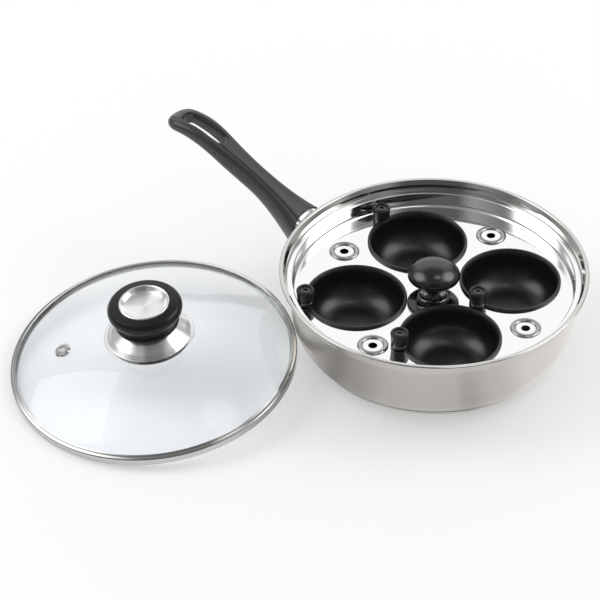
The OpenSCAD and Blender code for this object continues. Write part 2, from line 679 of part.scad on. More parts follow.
// Brushed steel cone at the foot of the knob
module lid_knob_base() {
    foot = cone_foot_h;
    slope_r = cone_r - cone_rim_w;
    top_r = knob_foot_r * 0.7;
    color("silver") lid_place() rotate_extrude() polygon([
        [slope_r - cone_t, foot], [cone_r - 0.3, foot - 0.02], [cone_r, foot + 0.3], [cone_r - 0.3, foot + cone_t],
        [slope_r, foot + cone_t], [slope_r - 3, foot + cone_t + 2.6], [top_r, cone_top_h - 0.4],
        [top_r - 0.6, cone_top_h], [lid_bore_r, cone_top_h], [lid_bore_r, cone_top_h - cone_t],
        [top_r - 0.8, cone_top_h - cone_t], [slope_r - 3.6, foot + cone_t + 1.8]]);
}

// Black grip ring: a waisted foot under a full, rounded rim, sunk on top for the cap
module lid_knob_grip() {
    foot = cone_top_h + seat_gap;
    waist_r = knob_foot_r - 2.2;
    height = knob_top_h - foot;
    pocket_r = cap_r + seat_gap;
    color([0.13, 0.13, 0.14]) lid_place() difference() {
        rotate_extrude() polygon(concat(
            [[0, foot], [knob_foot_r - 1.6, foot], [knob_foot_r - 0.4, foot + 0.5],
                [knob_foot_r, foot + 0.09 * height], [knob_foot_r - 0.7, foot + 0.15 * height],
                [knob_foot_r - 1.9, foot + 0.2 * height]],
            [for (p = LID_GRIP_SIDE) [waist_r + (knob_r - waist_r) * p[0], foot + height * p[1]]],
            [[pocket_r + 0.8, knob_top_h - 0.5], [0, knob_top_h - 0.5]]));
        translate([0, 0, knob_top_h - cap_dish - cap_t - 0.6]) cylinder(h = knob_h, r = pocket_r);
        translate([0, 0, foot - cut]) cylinder(h = knob_h, r = lid_screw_r + screw_gap / 2, $fn = 48);
    }
}

// Dished steel cap set into the top of the grip ring
module lid_knob_cap() {
    floor_h = knob_top_h - cap_dish - 0.5;
    color("silver") lid_place() rotate_extrude() polygon(concat(
        [[0, floor_h - cap_t + seat_gap], [cap_r, floor_h - cap_t + seat_gap]],
        arc(cap_r - 0.8, knob_top_h - 0.8, 0.8, 0, 90, 5),
        [[cap_r - 1.6, knob_top_h - 0.2], [cap_r - 3, knob_top_h - cap_dish * 0.55]],
        [for (k = [5 : -1 : 0]) let (r = (cap_r - 4) * k / 5)
            [r, floor_h + 0.35 * cap_dish * pow(k / 5, 3)]]));
}

// Screw up through the washer, the gasket, the glass and the cone into the grip
module lid_knob_screw() {
    seat = gasket_top - gasket_t - lid_washer_t;
    color("gray") lid_place() {
        translate([0, 0, seat]) cylinder(h = cone_top_h + knob_h * 0.6 - seat, r = lid_screw_r, $fn = 48);
        translate([0, 0, seat - lid_screw_head_t])
            cylinder(h = lid_screw_head_t, r = lid_screw_head_r, $fn = 48);
    }
}

// A flat ring round the lid's screw
module screw_ring(top, thickness, r) {
    translate([0, 0, top - thickness]) difference() {
        cylinder(h = thickness, r = r, $fn = 64);
        translate([0, 0, -cut]) cylinder(h = thickness + 2 * cut, r = lid_bore_r, $fn = 48);
    }
}

// Steel washer over the screw's head
module lid_knob_washer() {
    color("silver") lid_place() screw_ring(gasket_top - gasket_t, lid_washer_t, gasket_r - 1);
}

// Silicone gasket between the washer and the glass
module lid_knob_gasket() {
    color([0.6, 0.6, 0.6]) lid_place() screw_ring(gasket_top, gasket_t, gasket_r);
}

pan_body();
base_core();
base_cap();
handle_bracket();
flame_guard();
handle_grip();
handle_bolt();
egg_tray();
tray_knob();
tray_knob_collar();
tray_knob_screw();
egg_cup(0);  // cup_1
egg_cup(1);  // cup_2
egg_cup(2);  // cup_3
egg_cup(3);  // cup_4
cup_knob(0);  // cup_1_knob
cup_knob(1);  // cup_2_knob
cup_knob(2);  // cup_3_knob
cup_knob(3);  // cup_4_knob
cup_washer(0);  // cup_1_washer
cup_washer(1);  // cup_2_washer
cup_washer(2);  // cup_3_washer
cup_washer(3);  // cup_4_washer
cup_screw(0);  // cup_1_screw
cup_screw(1);  // cup_2_screw
cup_screw(2);  // cup_3_screw
cup_screw(3);  // cup_4_screw
lid_glass();
lid_band();
lid_vent_eyelet();
lid_knob_base();
lid_knob_grip();
lid_knob_cap();
lid_knob_screw();
lid_knob_washer();
lid_knob_gasket();
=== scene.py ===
# %% [markdown]
# # Egg poacher pan
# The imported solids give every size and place. This lesson turns, lofts and finishes pieces that
# stand for them, and lights them as in a plain studio.

# %% The frame
import json
from math import (asin, atan, atan2, cos, degrees, dist, hypot, pi, radians, remainder, sin,
                  sqrt, tan, tau)

import bpy
from mathutils import Matrix, Vector


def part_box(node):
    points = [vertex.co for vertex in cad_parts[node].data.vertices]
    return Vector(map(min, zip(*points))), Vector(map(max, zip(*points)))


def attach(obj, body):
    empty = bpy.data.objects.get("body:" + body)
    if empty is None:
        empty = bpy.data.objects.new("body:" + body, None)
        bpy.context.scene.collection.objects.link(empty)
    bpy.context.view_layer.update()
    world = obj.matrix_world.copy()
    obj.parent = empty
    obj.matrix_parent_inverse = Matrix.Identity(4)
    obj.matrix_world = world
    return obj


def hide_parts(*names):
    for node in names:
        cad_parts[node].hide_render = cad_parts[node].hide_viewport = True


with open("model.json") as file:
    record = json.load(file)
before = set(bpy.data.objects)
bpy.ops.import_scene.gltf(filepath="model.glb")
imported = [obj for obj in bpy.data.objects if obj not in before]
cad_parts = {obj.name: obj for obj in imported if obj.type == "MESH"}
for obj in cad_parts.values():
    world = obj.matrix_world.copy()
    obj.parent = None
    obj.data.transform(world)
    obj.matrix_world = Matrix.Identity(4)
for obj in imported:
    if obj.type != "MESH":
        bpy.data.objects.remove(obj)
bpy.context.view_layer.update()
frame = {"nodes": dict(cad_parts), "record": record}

MM = 0.001

# %% [markdown]
# ## The camera
# A long lens far away keeps the round rim an even ellipse.

# %% Camera
def heading(turned, raised):
    """A direction turned from the -Y side towards +X, and raised, both in degrees."""
    a, e = radians(turned), radians(raised)
    return Vector((sin(a) * cos(e), -cos(a) * cos(e), sin(e)))


AIM, DISTANCE, LENS = Vector((-0.0839, -0.0402, 0.0199)), 1.9088, 164.4
AZIMUTH, ELEVATION, ROLL = 35.4, 38.51, -0.23
back = heading(AZIMUTH, ELEVATION)
bpy.ops.object.camera_add(location=AIM + back * DISTANCE)
camera = bpy.context.object
camera.matrix_world = (Matrix.Translation(AIM + back * DISTANCE)
                       @ back.to_track_quat("Z", "Y").to_matrix().to_4x4()
                       @ Matrix.Rotation(radians(ROLL), 4, "Z"))
camera.data.lens = LENS
bpy.context.scene.camera = camera
bpy.context.scene.view_settings.view_transform = "Standard"
print("camera at", [round(v, 4) for v in camera.matrix_world.translation])

# %% [markdown]
# ## Light, floor and background
# Polished steel shows what is round it. The world is white to the camera and to glass, and a
# softer white lights matt surfaces. Two lamps give the soft shadows. Mirrors see a dome
# instead, shaded like a studio: white at the back, darker cards at the sides and round the
# camera, grey overhead, and bright boxes.

# %% Node helpers
def add(tree, kind):
    """A new shader node."""
    return tree.nodes.new("ShaderNode" + kind)


def feed(tree, slot, value):
    """Links a socket to an input, or sets a plain value on it."""
    if isinstance(value, bpy.types.NodeSocket):
        tree.links.new(value, slot)
    else:
        slot.default_value = value


def math_node(tree, operation, *values):
    """The result of one sum, on sockets or plain numbers."""
    node = add(tree, "Math")
    node.operation = operation
    for slot, value in zip(node.inputs, values):
        feed(tree, slot, value)
    return node.outputs[0]


def seen_ray(tree):
    """1 for the rays of the camera, of mirrors and of glass, and 0 for the light that falls."""
    path = add(tree, "LightPath")
    seen = math_node(tree, "MAXIMUM", path.outputs["Is Camera Ray"], path.outputs["Is Glossy Ray"])
    return math_node(tree, "MAXIMUM", seen, path.outputs["Is Transmission Ray"])


def fade(tree, value, low, high, start=0.0, end=1.0):
    """A smooth step from start to end, while a value goes from low to high."""
    node = add(tree, "MapRange")
    node.interpolation_type = "SMOOTHSTEP"
    feed(tree, node.inputs["Value"], value)
    for slot, number in zip(node.inputs[1:5], (low, high, start, end)):
        slot.default_value = number
    return node.outputs["Result"]


def mixed(tree, share, first, second):
    """A value between two others, which may be sockets or numbers."""
    node = add(tree, "Mix")
    for slot, value in ((0, share), (2, first), (3, second)):
        feed(tree, node.inputs[slot], value)
    return node.outputs[0]


def vector_node(tree, operation, vector, other=None):
    """The result of one vector operation."""
    node = add(tree, "VectorMath")
    node.operation = operation
    feed(tree, node.inputs[0], vector)
    if other is not None:
        node.inputs[1].default_value = other
    return node.outputs["Value" if operation in ("LENGTH", "DOT_PRODUCT") else "Vector"]


def along_axes(tree, vector):
    """The three parts of a vector."""
    node = add(tree, "SeparateXYZ")
    feed(tree, node.inputs[0], vector)
    return node.outputs


def blank(name):
    """A new material without nodes. Returns it and its tree."""
    material = bpy.data.materials.new(name)
    material.use_nodes = True
    material.node_tree.nodes.clear()
    return material, material.node_tree


def show(tree, shader, kind="Material"):
    """Sends a shader to the output of its tree."""
    tree.links.new(shader.outputs[0], add(tree, f"Output{kind}").inputs["Surface"])


# %% World
BACKDROP, GLOW = 1.0, 0.8
world = bpy.data.worlds.new("studio")
bpy.context.scene.world = world
world.use_nodes = True
sky = world.node_tree
sky.nodes.clear()
pick = add(sky, "MixShader")
for strength, socket in ((GLOW, pick.inputs[1]), (BACKDROP, pick.inputs[2])):
    white = add(sky, "Background")
    white.inputs["Color"].default_value = (1, 1, 1, 1)
    white.inputs["Strength"].default_value = strength
    sky.links.new(white.outputs[0], socket)
sky.links.new(seen_ray(sky), pick.inputs["Fac"])
show(sky, pick, "World")
print("world ready")


# %% Lamps
def around(turned, raised, reach):
    """A point round the pan, counted from the camera's side, at a distance in metres."""
    return Matrix.Rotation(radians(AZIMUTH), 3, "Z") @ heading(turned, raised) * reach


def lamp(name, spot, size, power):
    """A square soft lamp at a place, turned to the pan. Mirrors see the dome in its place."""
    bpy.ops.object.light_add(type="AREA", location=spot)
    light = bpy.context.object
    light.name = name
    light.rotation_euler = spot.to_track_quat("Z", "Y").to_euler()
    light.data.shape = "SQUARE"
    light.data.size = size
    light.visible_glossy = False
    light.data.energy = power


lamp("softbox_left", around(-106, 44, 1.7), 0.85, 5.0)
lamp("softbox_right", around(106, 44, 1.7), 0.95, 6.5)

# %% Floor
PAPER, LIFT = 0.93, 0.3
bpy.ops.mesh.primitive_plane_add(size=12, location=(0, 0, -0.00005))
floor = bpy.context.object
floor.name = "studio_floor"
paper, tree = blank("floor_paper")
matt = add(tree, "BsdfDiffuse")
matt.inputs["Color"].default_value = (PAPER, PAPER, PAPER, 1)
reach = vector_node(tree, "LENGTH", add(tree, "TexCoord").outputs["Object"])
blend = add(tree, "MixShader")
lifted = math_node(tree, "MULTIPLY", seen_ray(tree), LIFT)
feed(tree, blend.inputs["Fac"], math_node(tree, "MAXIMUM", fade(tree, reach, 0.2, 0.44), lifted))
feed(tree, blend.inputs[1], matt.outputs[0])
tree.links.new(add(tree, "Emission").outputs[0], blend.inputs[2])
show(tree, blend)
floor.data.materials.append(paper)


# %% What the mirrors see
def only_in_mirrors(board, name):
    """Lets only mirror rays see a piece. Returns its nodes and its own coordinates."""
    board.name = name
    board.rotation_euler.z = radians(AZIMUTH)
    board.visible_camera = board.visible_diffuse = board.visible_shadow = False
    board.visible_transmission = False
    cloth, tree = blank(name)
    board.data.materials.append(cloth)
    return tree, add(tree, "TexCoord").outputs["Object"]


def shades(tree, x, y, stops):
    """Greys round the pan, from stops of (degrees from the camera's side to its right, shade)."""
    turned = math_node(tree, "ARCTAN2", x, math_node(tree, "MULTIPLY", y, -1.0))
    ramp = add(tree, "ValToRGB")
    ramp.color_ramp.interpolation = "EASE"
    tree.links.new(math_node(tree, "MULTIPLY_ADD", turned, 0.5 / pi, 0.5), ramp.inputs[0])
    ends = ramp.color_ramp.elements
    ends[0].color, ends[1].color = (*[stops[0][1]] * 3, 1), (*[stops[-1][1]] * 3, 1)
    for at, shade in stops[1:-1]:
        ends.new(at / 360 + 0.5).color = (shade, shade, shade, 1)
    return ramp.outputs["Color"]


def shine(tree, value, share=1.0):
    """Makes the piece glow with a value, and lets through what the share leaves."""
    glow = add(tree, "Emission")
    feed(tree, glow.inputs["Strength"], value)
    blend = add(tree, "MixShader")
    feed(tree, blend.inputs["Fac"], share)
    tree.links.new(add(tree, "BsdfTransparent").outputs[0], blend.inputs[1])
    feed(tree, blend.inputs[2], glow.outputs[0])
    show(tree, blend)


LOW = [(-180, 1), (-160, 1), (-150, 0.25), (-136, 0.2), (-126, 0.45), (-105, 0.35), (-80, 0.1),
       (-55, 0.25), (-30, 0.1), (-12, 0.22), (12, 0.22), (30, 0.12), (60, 0.3), (90, 0.25),
       (118, 0.45), (132, 0.2), (148, 0.25), (160, 1), (180, 1)]
MIDDLE = [(-180, 1), (-150, 1), (-136, 0.45), (-110, 0.35), (-84, 0.6), (-60, 0.2), (-35, 0.3),
          (-20, 0.1), (20, 0.1), (38, 0.3), (60, 0.2), (80, 0.7), (105, 0.35), (136, 0.45),
          (150, 1), (180, 1)]
BOXES = [(-100, 46, 26, 2.0), (102, 46, 26, 2.3), (103, 80, 9, 2.0)]  # as the loop names them
CORE = 0.35  # the share of a box's width that has its full brightness
bpy.ops.mesh.primitive_uv_sphere_add(segments=64, ring_count=32, radius=3)
tree, spot = only_in_mirrors(bpy.context.object, "studio_dome")
way = vector_node(tree, "NORMALIZE", spot)
x, y, z = along_axes(tree, way)
walls = mixed(tree, fade(tree, z, 0.28, 0.44), shades(tree, x, y, LOW), shades(tree, x, y, MIDDLE))
overhead = fade(tree, math_node(tree, "ABSOLUTE", x), 0.25, 0.5, 0.26, 0.7)
light = mixed(tree, fade(tree, z, 0.7, 0.86), walls, overhead)
for turned, raised, wide, bright in BOXES:
    box = fade(tree, vector_node(tree, "DOT_PRODUCT", way, heading(turned, raised)),
               cos(radians(wide)), cos(radians(wide * CORE)), 0.0, bright)
    light = math_node(tree, "ADD", light, box)
shine(tree, light)

# %% What the side of the pan sees
# The side of the pan leans over the table and reflects it. This disc gives it the dark and pale
# bands of a real table top with lamps and dark cards round it.
TABLE_R, TABLE_GLOW = 0.2, 1.1
TABLE = [(-180, 0.8), (-75, 0.6), (-54, 0.3), (-42, 0.42), (-22, 0.62), (-8, 0.66), (8, 0.64),
         (15, 0.53), (30, 0.7), (52, 0.94), (80, 1), (120, 1), (180, 0.8)]
bpy.ops.mesh.primitive_circle_add(vertices=96, radius=TABLE_R, fill_type="NGON",
                                  location=(0, 0, 0.0001))
tree, spot = only_in_mirrors(bpy.context.object, "table_bands")
x, y, z = along_axes(tree, spot)
light = math_node(tree, "MULTIPLY", shades(tree, x, y, TABLE), TABLE_GLOW)
shine(tree, light, fade(tree, vector_node(tree, "LENGTH", spot), 0.13, 0.19, 1.0, 0.0))


# %% [markdown]
# ## Finishes
# Each finish has a pattern at its own scale: fine rings where steel was turned or brushed, soft
# clouds where fingers have been, sparkle in the coating, grain in moulded plastic. Each
# pattern is a node group that every material of its kind shares.

# %% Pattern groups
def pattern_group(name, inputs, outputs):
    """An empty shader group with named inputs and outputs. Returns it and its two end nodes."""
    group = bpy.data.node_groups.new(name, "ShaderNodeTree")
    for side, sockets in (("INPUT", inputs), ("OUTPUT", outputs)):
        for label, kind in sockets:
            group.interface.new_socket(name=label, in_out=side, socket_type=kind)
    return group, group.nodes.new("NodeGroupInput"), group.nodes.new("NodeGroupOutput")


def noise_node(tree, vector, scale, detail, roughness=0.5):
    """A noise value on a vector socket."""
    node = add(tree, "TexNoise")
    for label, value in (("Vector", vector), ("Scale", scale), ("Detail", detail),
                         ("Roughness", roughness)):
        feed(tree, node.inputs[label], value)
    return node.outputs["Fac"]


def height_and_roughness(group, into, onto, value, low=0.0, high=1.0):
    """Gives out a value as height, and as roughness between the inputs Low and High."""
    spread = add(group, "MapRange")
    for slot, number in zip(spread.inputs, (value, low, high, into.outputs["Low"],
                                            into.outputs["High"])):
        feed(group, slot, number)
    feed(group, onto.inputs["Height"], value)
    feed(group, onto.inputs["Roughness"], spread.outputs["Result"])


FLOAT, VECTOR, COLOR = "NodeSocketFloat", "NodeSocketVector", "NodeSocketColor"

# %% Turning marks
# The noise changes fast across the rings and slowly along them.
turning, into, onto = pattern_group(
    "turning_marks",
    [("Place", VECTOR), ("Fineness", FLOAT), ("Low", FLOAT), ("High", FLOAT)],
    [("Height", FLOAT), ("Roughness", FLOAT)])
x, y, z = along_axes(turning, into.outputs["Place"])
radius = math_node(turning, "SQRT", math_node(
    turning, "ADD", math_node(turning, "POWER", x, 2.0), math_node(turning, "POWER", y, 2.0)))
ALONG_RINGS = 14.0
lanes = add(turning, "CombineXYZ")
for lane, (part, scale) in zip(lanes.inputs, ((radius, into.outputs["Fineness"]),
                                              (z, into.outputs["Fineness"]), (x, ALONG_RINGS))):
    turning.links.new(math_node(turning, "MULTIPLY", part, scale), lane)
marks = noise_node(turning, lanes.outputs[0], 1.0, 3.0, roughness=0.65)
height_and_roughness(turning, into, onto, marks)

# %% Handled clouds
# Faint wide patches of more or less gloss, as hands and cloths leave them.
clouds, into, onto = pattern_group(
    "handled_clouds",
    [("Place", VECTOR), ("Size", FLOAT), ("Low", FLOAT), ("High", FLOAT)],
    [("Height", FLOAT), ("Roughness", FLOAT)])
wide = noise_node(clouds, into.outputs["Place"], into.outputs["Size"], 3.0)
height_and_roughness(clouds, into, onto, wide, 0.3, 0.7)

# %% Fine grain
# Small grains: bright specks for the coating, and the matt skin of a moulded part.
grain, into, onto = pattern_group(
    "fine_grain",
    [("Place", VECTOR), ("Fineness", FLOAT), ("Base", COLOR), ("Speck", COLOR)],
    [("Color", COLOR), ("Height", FLOAT)])
small = noise_node(grain, into.outputs["Place"], into.outputs["Fineness"], 1.0)
specks = add(grain, "MapRange")
specks.inputs["From Min"].default_value = 0.6
specks.inputs["From Max"].default_value = 0.85
grain.links.new(small, specks.inputs["Value"])
dust = add(grain, "Mix")
dust.data_type = "RGBA"
grain.links.new(specks.outputs["Result"], dust.inputs["Factor"])
grain.links.new(into.outputs["Base"], dust.inputs[6])
grain.links.new(into.outputs["Speck"], dust.inputs[7])
grain.links.new(dust.outputs[2], onto.inputs["Color"])
grain.links.new(small, onto.inputs["Height"])
print("pattern groups", [g.name for g in bpy.data.node_groups])


# %% Material helpers
def new_finish(name, color, roughness, metallic=0.0, **plain):
    """A material whose Principled shader has these plain values."""
    material = bpy.data.materials.new(name)
    material.use_nodes = True
    shader = material.node_tree.nodes["Principled BSDF"]
    shader.inputs["Base Color"].default_value = (*color, 1)
    shader.inputs["Roughness"].default_value = roughness
    shader.inputs["Metallic"].default_value = metallic
    for label, value in plain.items():
        shader.inputs[label.replace("_", " ")].default_value = value
    return material, material.node_tree, shader


def own_place(tree, turned):
    """The place that a pattern follows: a turned piece's own frame, or Object coordinates."""
    if turned:
        node = add(tree, "Attribute")
        node.attribute_name = "own_place"
        return node.outputs["Vector"]
    return add(tree, "TexCoord").outputs["Object"]


def add_pattern(tree, group, turned, **values):
    """Places a pattern group in a material."""
    node = add(tree, "Group")
    node.node_tree = group
    for label, value in {"Place": own_place(tree, turned), **values}.items():
        feed(tree, node.inputs[label], value)
    return node


def add_bump(tree, shader, height, distance):
    """Feeds a height through a Bump node to the shader's normal."""
    bump = add(tree, "Bump")
    bump.inputs["Distance"].default_value = distance
    feed(tree, bump.inputs["Height"], height)
    feed(tree, shader.inputs["Normal"], bump.outputs["Normal"])


def turned_steel(name, color, low, high, fineness, depth, stretch=0.0):
    """Steel with turning marks, and highlights drawn out along the outline by stretch."""
    material, tree, shader = new_finish(name, color, (low + high) / 2, 1.0, Anisotropic=stretch)
    marks = add_pattern(tree, turning, True, Fineness=fineness, Low=low, High=high)
    feed(tree, shader.inputs["Roughness"], marks.outputs["Roughness"])
    add_bump(tree, shader, marks.outputs["Height"], depth)
    if stretch:
        tangent = add(tree, "Tangent")
        tangent.direction_type = "UV_MAP"
        tangent.uv_map = "unrolled"
        feed(tree, shader.inputs["Tangent"], tangent.outputs[0])
    return material


def moulded(name, color, speck, roughness, fineness, depth, shine=0.5, turned=True):
    """Moulded plastic or coating with a fine grain and slightly lighter specks."""
    material, tree, shader = new_finish(name, color, roughness, Specular_IOR_Level=shine)
    skin = add_pattern(tree, grain, turned, Fineness=fineness, Base=(*color, 1), Speck=(*speck, 1))
    feed(tree, shader.inputs["Base Color"], skin.outputs["Color"])
    add_bump(tree, shader, skin.outputs["Height"], depth)
    return material


def hazy(name, color, size, low, high, metallic=1.0, **plain):
    """A finish whose roughness varies in clouds between two values."""
    material, tree, shader = new_finish(name, color, low, metallic, **plain)
    haze = add_pattern(tree, clouds, False, Size=size, Low=low, High=high)
    feed(tree, shader.inputs["Roughness"], haze.outputs["Roughness"])
    return material, tree, shader, haze


# %% Steel
SATIN = turned_steel("pan_satin", (0.61, 0.585, 0.55), 0.18, 0.28, 2500, 0.00002, stretch=0.85)
POLISHED = turned_steel("pan_polished", (0.68, 0.67, 0.65), 0.04, 0.09, 1600, 0.000004)
BASE_STEEL = turned_steel("base_brushed", (0.62, 0.6, 0.57), 0.16, 0.24, 2500, 0.00001, stretch=0.6)
BRUSHED = turned_steel("knob_brushed", (0.9, 0.9, 0.9), 0.16, 0.3, 3500, 0.00003, stretch=0.88)
BAND = turned_steel("band_polished", (0.60, 0.60, 0.59), 0.05, 0.1, 2500, 0.000006)
BRIGHT = turned_steel("bright_fittings", (0.72, 0.72, 0.72), 0.04, 0.09, 3000, 0.000003)
# The collar's steel is darkened to near black as painted shade, for the shade under the knob's head
# and the dark things it reflects.
COLLAR_STEEL_PAINTED_SHADE = turned_steel("collar_steel_painted_shade", (0.12, 0.12, 0.125), 0.05, 0.1, 3000, 0.000003)
# The vent rings' steel is darker partly as their own tone and partly as painted darker reflection
# on their tilted faces.
VENT_TONE_AND_DARK_REFLECTION = turned_steel("vent_ring_tone_and_painted_reflection", (0.42, 0.42, 0.43), 0.12, 0.2, 1200, 0.000006)
print("steels", [m.name for m in bpy.data.materials])

# %% Mirror of the tray, and the plain metal of hidden parts
MIRROR, tree, shader, haze = hazy("tray_mirror", (0.95, 0.95, 0.95), 60.0, 0.03, 0.09)
add_bump(tree, shader, haze.outputs["Height"], 0.00005)
PLAIN_STEEL = hazy("plain_steel", (0.55, 0.55, 0.56), 120.0, 0.28, 0.45)[0]
ALUMINIUM = hazy("plain_aluminium", (0.78, 0.78, 0.78), 80.0, 0.35, 0.5)[0]
SOCKET_STEEL = hazy("socket_black_steel", (0.12, 0.12, 0.125), 400.0, 0.3, 0.5)[0]

# %% Plastics, coating and silicone
COATING = moulded(
    "nonstick_coating", (0.006, 0.006, 0.0065), (0.07, 0.07, 0.075), 0.3,
    1500.0, 0.00002, shine=0.7)
THUMB = moulded(
    "thumb_knob_plastic", (0.016, 0.016, 0.018), (0.03, 0.03, 0.032), 0.34,
    1800.0, 0.00002, shine=0.4)
GLOSS = moulded(
    "gloss_knob_plastic", (0.003, 0.003, 0.0035), (0.005, 0.005, 0.0055), 0.18,
    600.0, 0.000004, shine=0.95)
LID_GRIP = moulded(
    "lid_grip_plastic", (0.008, 0.008, 0.009), (0.018, 0.018, 0.02), 0.26,
    1800.0, 0.000012, shine=0.3)
GRIP = moulded(
    "handle_plastic", (0.036, 0.036, 0.039), (0.065, 0.065, 0.068), 0.27,
    1500.0, 0.00003, turned=False)
SILICONE = moulded(
    "grey_silicone", (0.55, 0.55, 0.55), (0.62, 0.62, 0.62), 0.6,
    900.0, 0.00002, turned=False)

# %% Glass
# The glass is a closed wall, so light bends in it as in the real lid. Shadow rays pass through
# it, tinted, so that the table below stays light.
GLASS, tree, shader, haze = hazy("lid_clear_glass", (0.95, 0.97, 0.985), 25.0, 0.0, 0.02, 0.0,
                                 IOR=1.42, Transmission_Weight=1.0)
clear = add(tree, "BsdfTransparent")
clear.inputs["Color"].default_value = (0.86, 0.89, 0.92, 1)
rays = add(tree, "LightPath")
choose = add(tree, "MixShader")
feed(tree, choose.inputs["Fac"], rays.outputs["Is Shadow Ray"])
feed(tree, choose.inputs[1], shader.outputs[0])
feed(tree, choose.inputs[2], clear.outputs[0])
tree.links.new(choose.outputs[0], tree.nodes["Material Output"].inputs["Surface"])
print("finishes", len(bpy.data.materials))


# %% [markdown]
# ## How the pieces are made
# Nearly every part of this pan was spun or turned, so half an outline is drawn beside its axis,
# by extruding one vertex from point to point, and spun a full turn. Sharp corners get a small
# radius first, because a real edge always catches a line of light.

# %% Outline helpers
def arc(cx, cz, r, start, end, steps, rise=None):
    """Points in mm of an arc round (cx, cz), between two angles in degrees.

    With a rise it is an arc of an ellipse: r is its half width and rise its half height.
    """
    angles = [radians(start + (end - start) * i / steps) for i in range(steps + 1)]
    return [(cx + r * cos(a), cz + (r if rise is None else rise) * sin(a)) for a in angles]


LEAST_TURN, MOST_CUT = 14.0, 0.42  # degrees, and a share of the shorter run
LONG_RUN, HOLD = 2.5, 0.3  # mm


def soften(outline, radius):
    """Rounds the corners of an outline, and holds its long straight runs flat to the corner."""
    rounded = [outline[0]]
    for before, here, after in zip(outline, outline[1:], outline[2:]):
        a, p, b = Vector(before), Vector(here), Vector(after)
        into_run, out_run = a - p, b - p
        if min(into_run.length, out_run.length) < 1e-6:
            continue
        turn_by = 180 - degrees(into_run.angle(out_run))
        if turn_by < LEAST_TURN or p.x < 1e-6:
            rounded.append(here)
            continue
        cut = min(radius * tan(radians(turn_by) / 2),
                  MOST_CUT * into_run.length, MOST_CUT * out_run.length)
        start, end = p + into_run.normalized() * cut, p + out_run.normalized() * cut
        for t in (0, 0.25, 0.5, 0.75, 1):
            q = start * (1 - t) ** 2 + p * 2 * t * (1 - t) + end * t ** 2
            rounded.append((q.x, q.y))
    rounded.append(outline[-1])
    held = [rounded[0]]
    for here, after in zip(rounded, rounded[1:]):
        p, q = Vector(here), Vector(after)
        run = (q - p).length
        if run > LONG_RUN:
            held += [tuple(p.lerp(q, t)) for t in (HOLD / run, 1 - HOLD / run)]
        held.append(after)
    return held


# %% Bench helpers
WELD, FINE_WELD = 0.000002, 1e-7  # metres


def clear_bench(piece=None):
    """Leaves edit mode and deselects everything but one piece, which becomes the active one."""
    if bpy.context.object and bpy.context.object.mode == "EDIT":
        bpy.ops.object.mode_set(mode="OBJECT")
    bpy.ops.object.select_all(action="DESELECT")
    if piece:
        piece.select_set(True)
        bpy.context.view_layer.objects.active = piece


def push(step):
    """Extrudes what is selected by a step in metres."""
    bpy.ops.mesh.extrude_region_move(TRANSFORM_OT_translate={"value": step})


def draw(name, points):
    """Draws a chain of vertices through points in mm and stays in edit mode."""
    clear_bench()
    bpy.ops.mesh.primitive_plane_add(size=MM, location=Vector(points[0]) * MM)
    piece = bpy.context.object
    piece.name = piece.data.name = name
    bpy.ops.object.transform_apply(location=True, rotation=True, scale=True)
    bpy.ops.object.mode_set(mode="EDIT")
    bpy.ops.mesh.select_all(action="SELECT")
    bpy.ops.mesh.merge(type="CENTER")
    for here, after in zip(points, points[1:]):
        push((Vector(after) - Vector(here)) * MM)
    return piece


def fill(name, points, weld=FINE_WELD):
    """Draws a closed outline through points in mm and fills it with one face."""
    piece = draw(name, points + points[:1])
    bpy.ops.mesh.select_all(action="SELECT")
    bpy.ops.mesh.remove_doubles(threshold=weld)
    bpy.ops.mesh.edge_face_add()
    return piece


def close_up():
    """Merges doubles and turns every face outwards, in edit mode, then leaves it."""
    bpy.ops.mesh.select_all(action="SELECT")
    bpy.ops.mesh.remove_doubles(threshold=WELD)
    bpy.ops.mesh.normals_make_consistent(inside=False)
    bpy.ops.object.mode_set(mode="OBJECT")


def smooth_faces(limit=32):
    """Shades the active piece smooth, apart from edges sharper than a limit in degrees."""
    bpy.ops.object.shade_smooth_by_angle(angle=radians(limit))


U_PER_METRE = 5


def unroll(piece, outline):
    """A UV map for brushing: U runs along the outline and V round the axis."""
    runs, total = {}, 0.0
    for i, (r, z) in enumerate(outline):
        if i:
            total += dist(outline[i - 1], outline[i]) * MM
        runs.setdefault((round(r, 2), round(z, 2)), []).append(total)
    mesh = piece.data
    layer = mesh.uv_layers.new(name="unrolled")
    for face in mesh.polygons:
        middle = atan2(face.center.y, face.center.x)
        known = None
        for loop in face.loop_indices:
            x, y, z = mesh.vertices[mesh.loops[loop].vertex_index].co
            r = hypot(x, y)
            found = runs.get((round(r / MM, 2), round(z / MM, 2)), [known or 0.0])
            along = found[0] if known is None else min(found, key=lambda s: abs(s - known))
            known = along if len(found) == 1 else known
            turned = remainder(atan2(y, x) - middle, tau) if r > 1e-6 else 0.0
            layer.data[loop].uv = (along * U_PER_METRE, (middle + turned) / tau)


def keep_place(piece):
    """Stores each point's place in the piece's own frame, for patterns that go with it."""
    stored = piece.data.attributes.new("own_place", "FLOAT_VECTOR", "POINT")
    flat = [value for vertex in piece.data.vertices for value in vertex.co]
    stored.data.foreach_set("vector", flat)


def turn(name, outline, material, steps, radius=0.3):
    """Spins an outline of (radius, height) points in mm a full turn round Z."""
    outline = soften(outline, radius) if radius else outline
    piece = draw(name, [(r, 0, z) for r, z in outline])
    bpy.ops.mesh.select_all(action="SELECT")
    bpy.ops.mesh.spin(steps=steps, angle=tau, center=(0, 0, 0), axis=(0, 0, 1))
    close_up()
    unroll(piece, outline)
    keep_place(piece)
    piece.data.materials.append(material)
    smooth_faces()
    return piece


def place(piece, matrix):
    """Carries a finished piece to its place, and leaves its object at the origin."""
    clear_bench(piece)
    piece.matrix_world = matrix
    bpy.ops.object.transform_apply(location=True, rotation=True, scale=True)


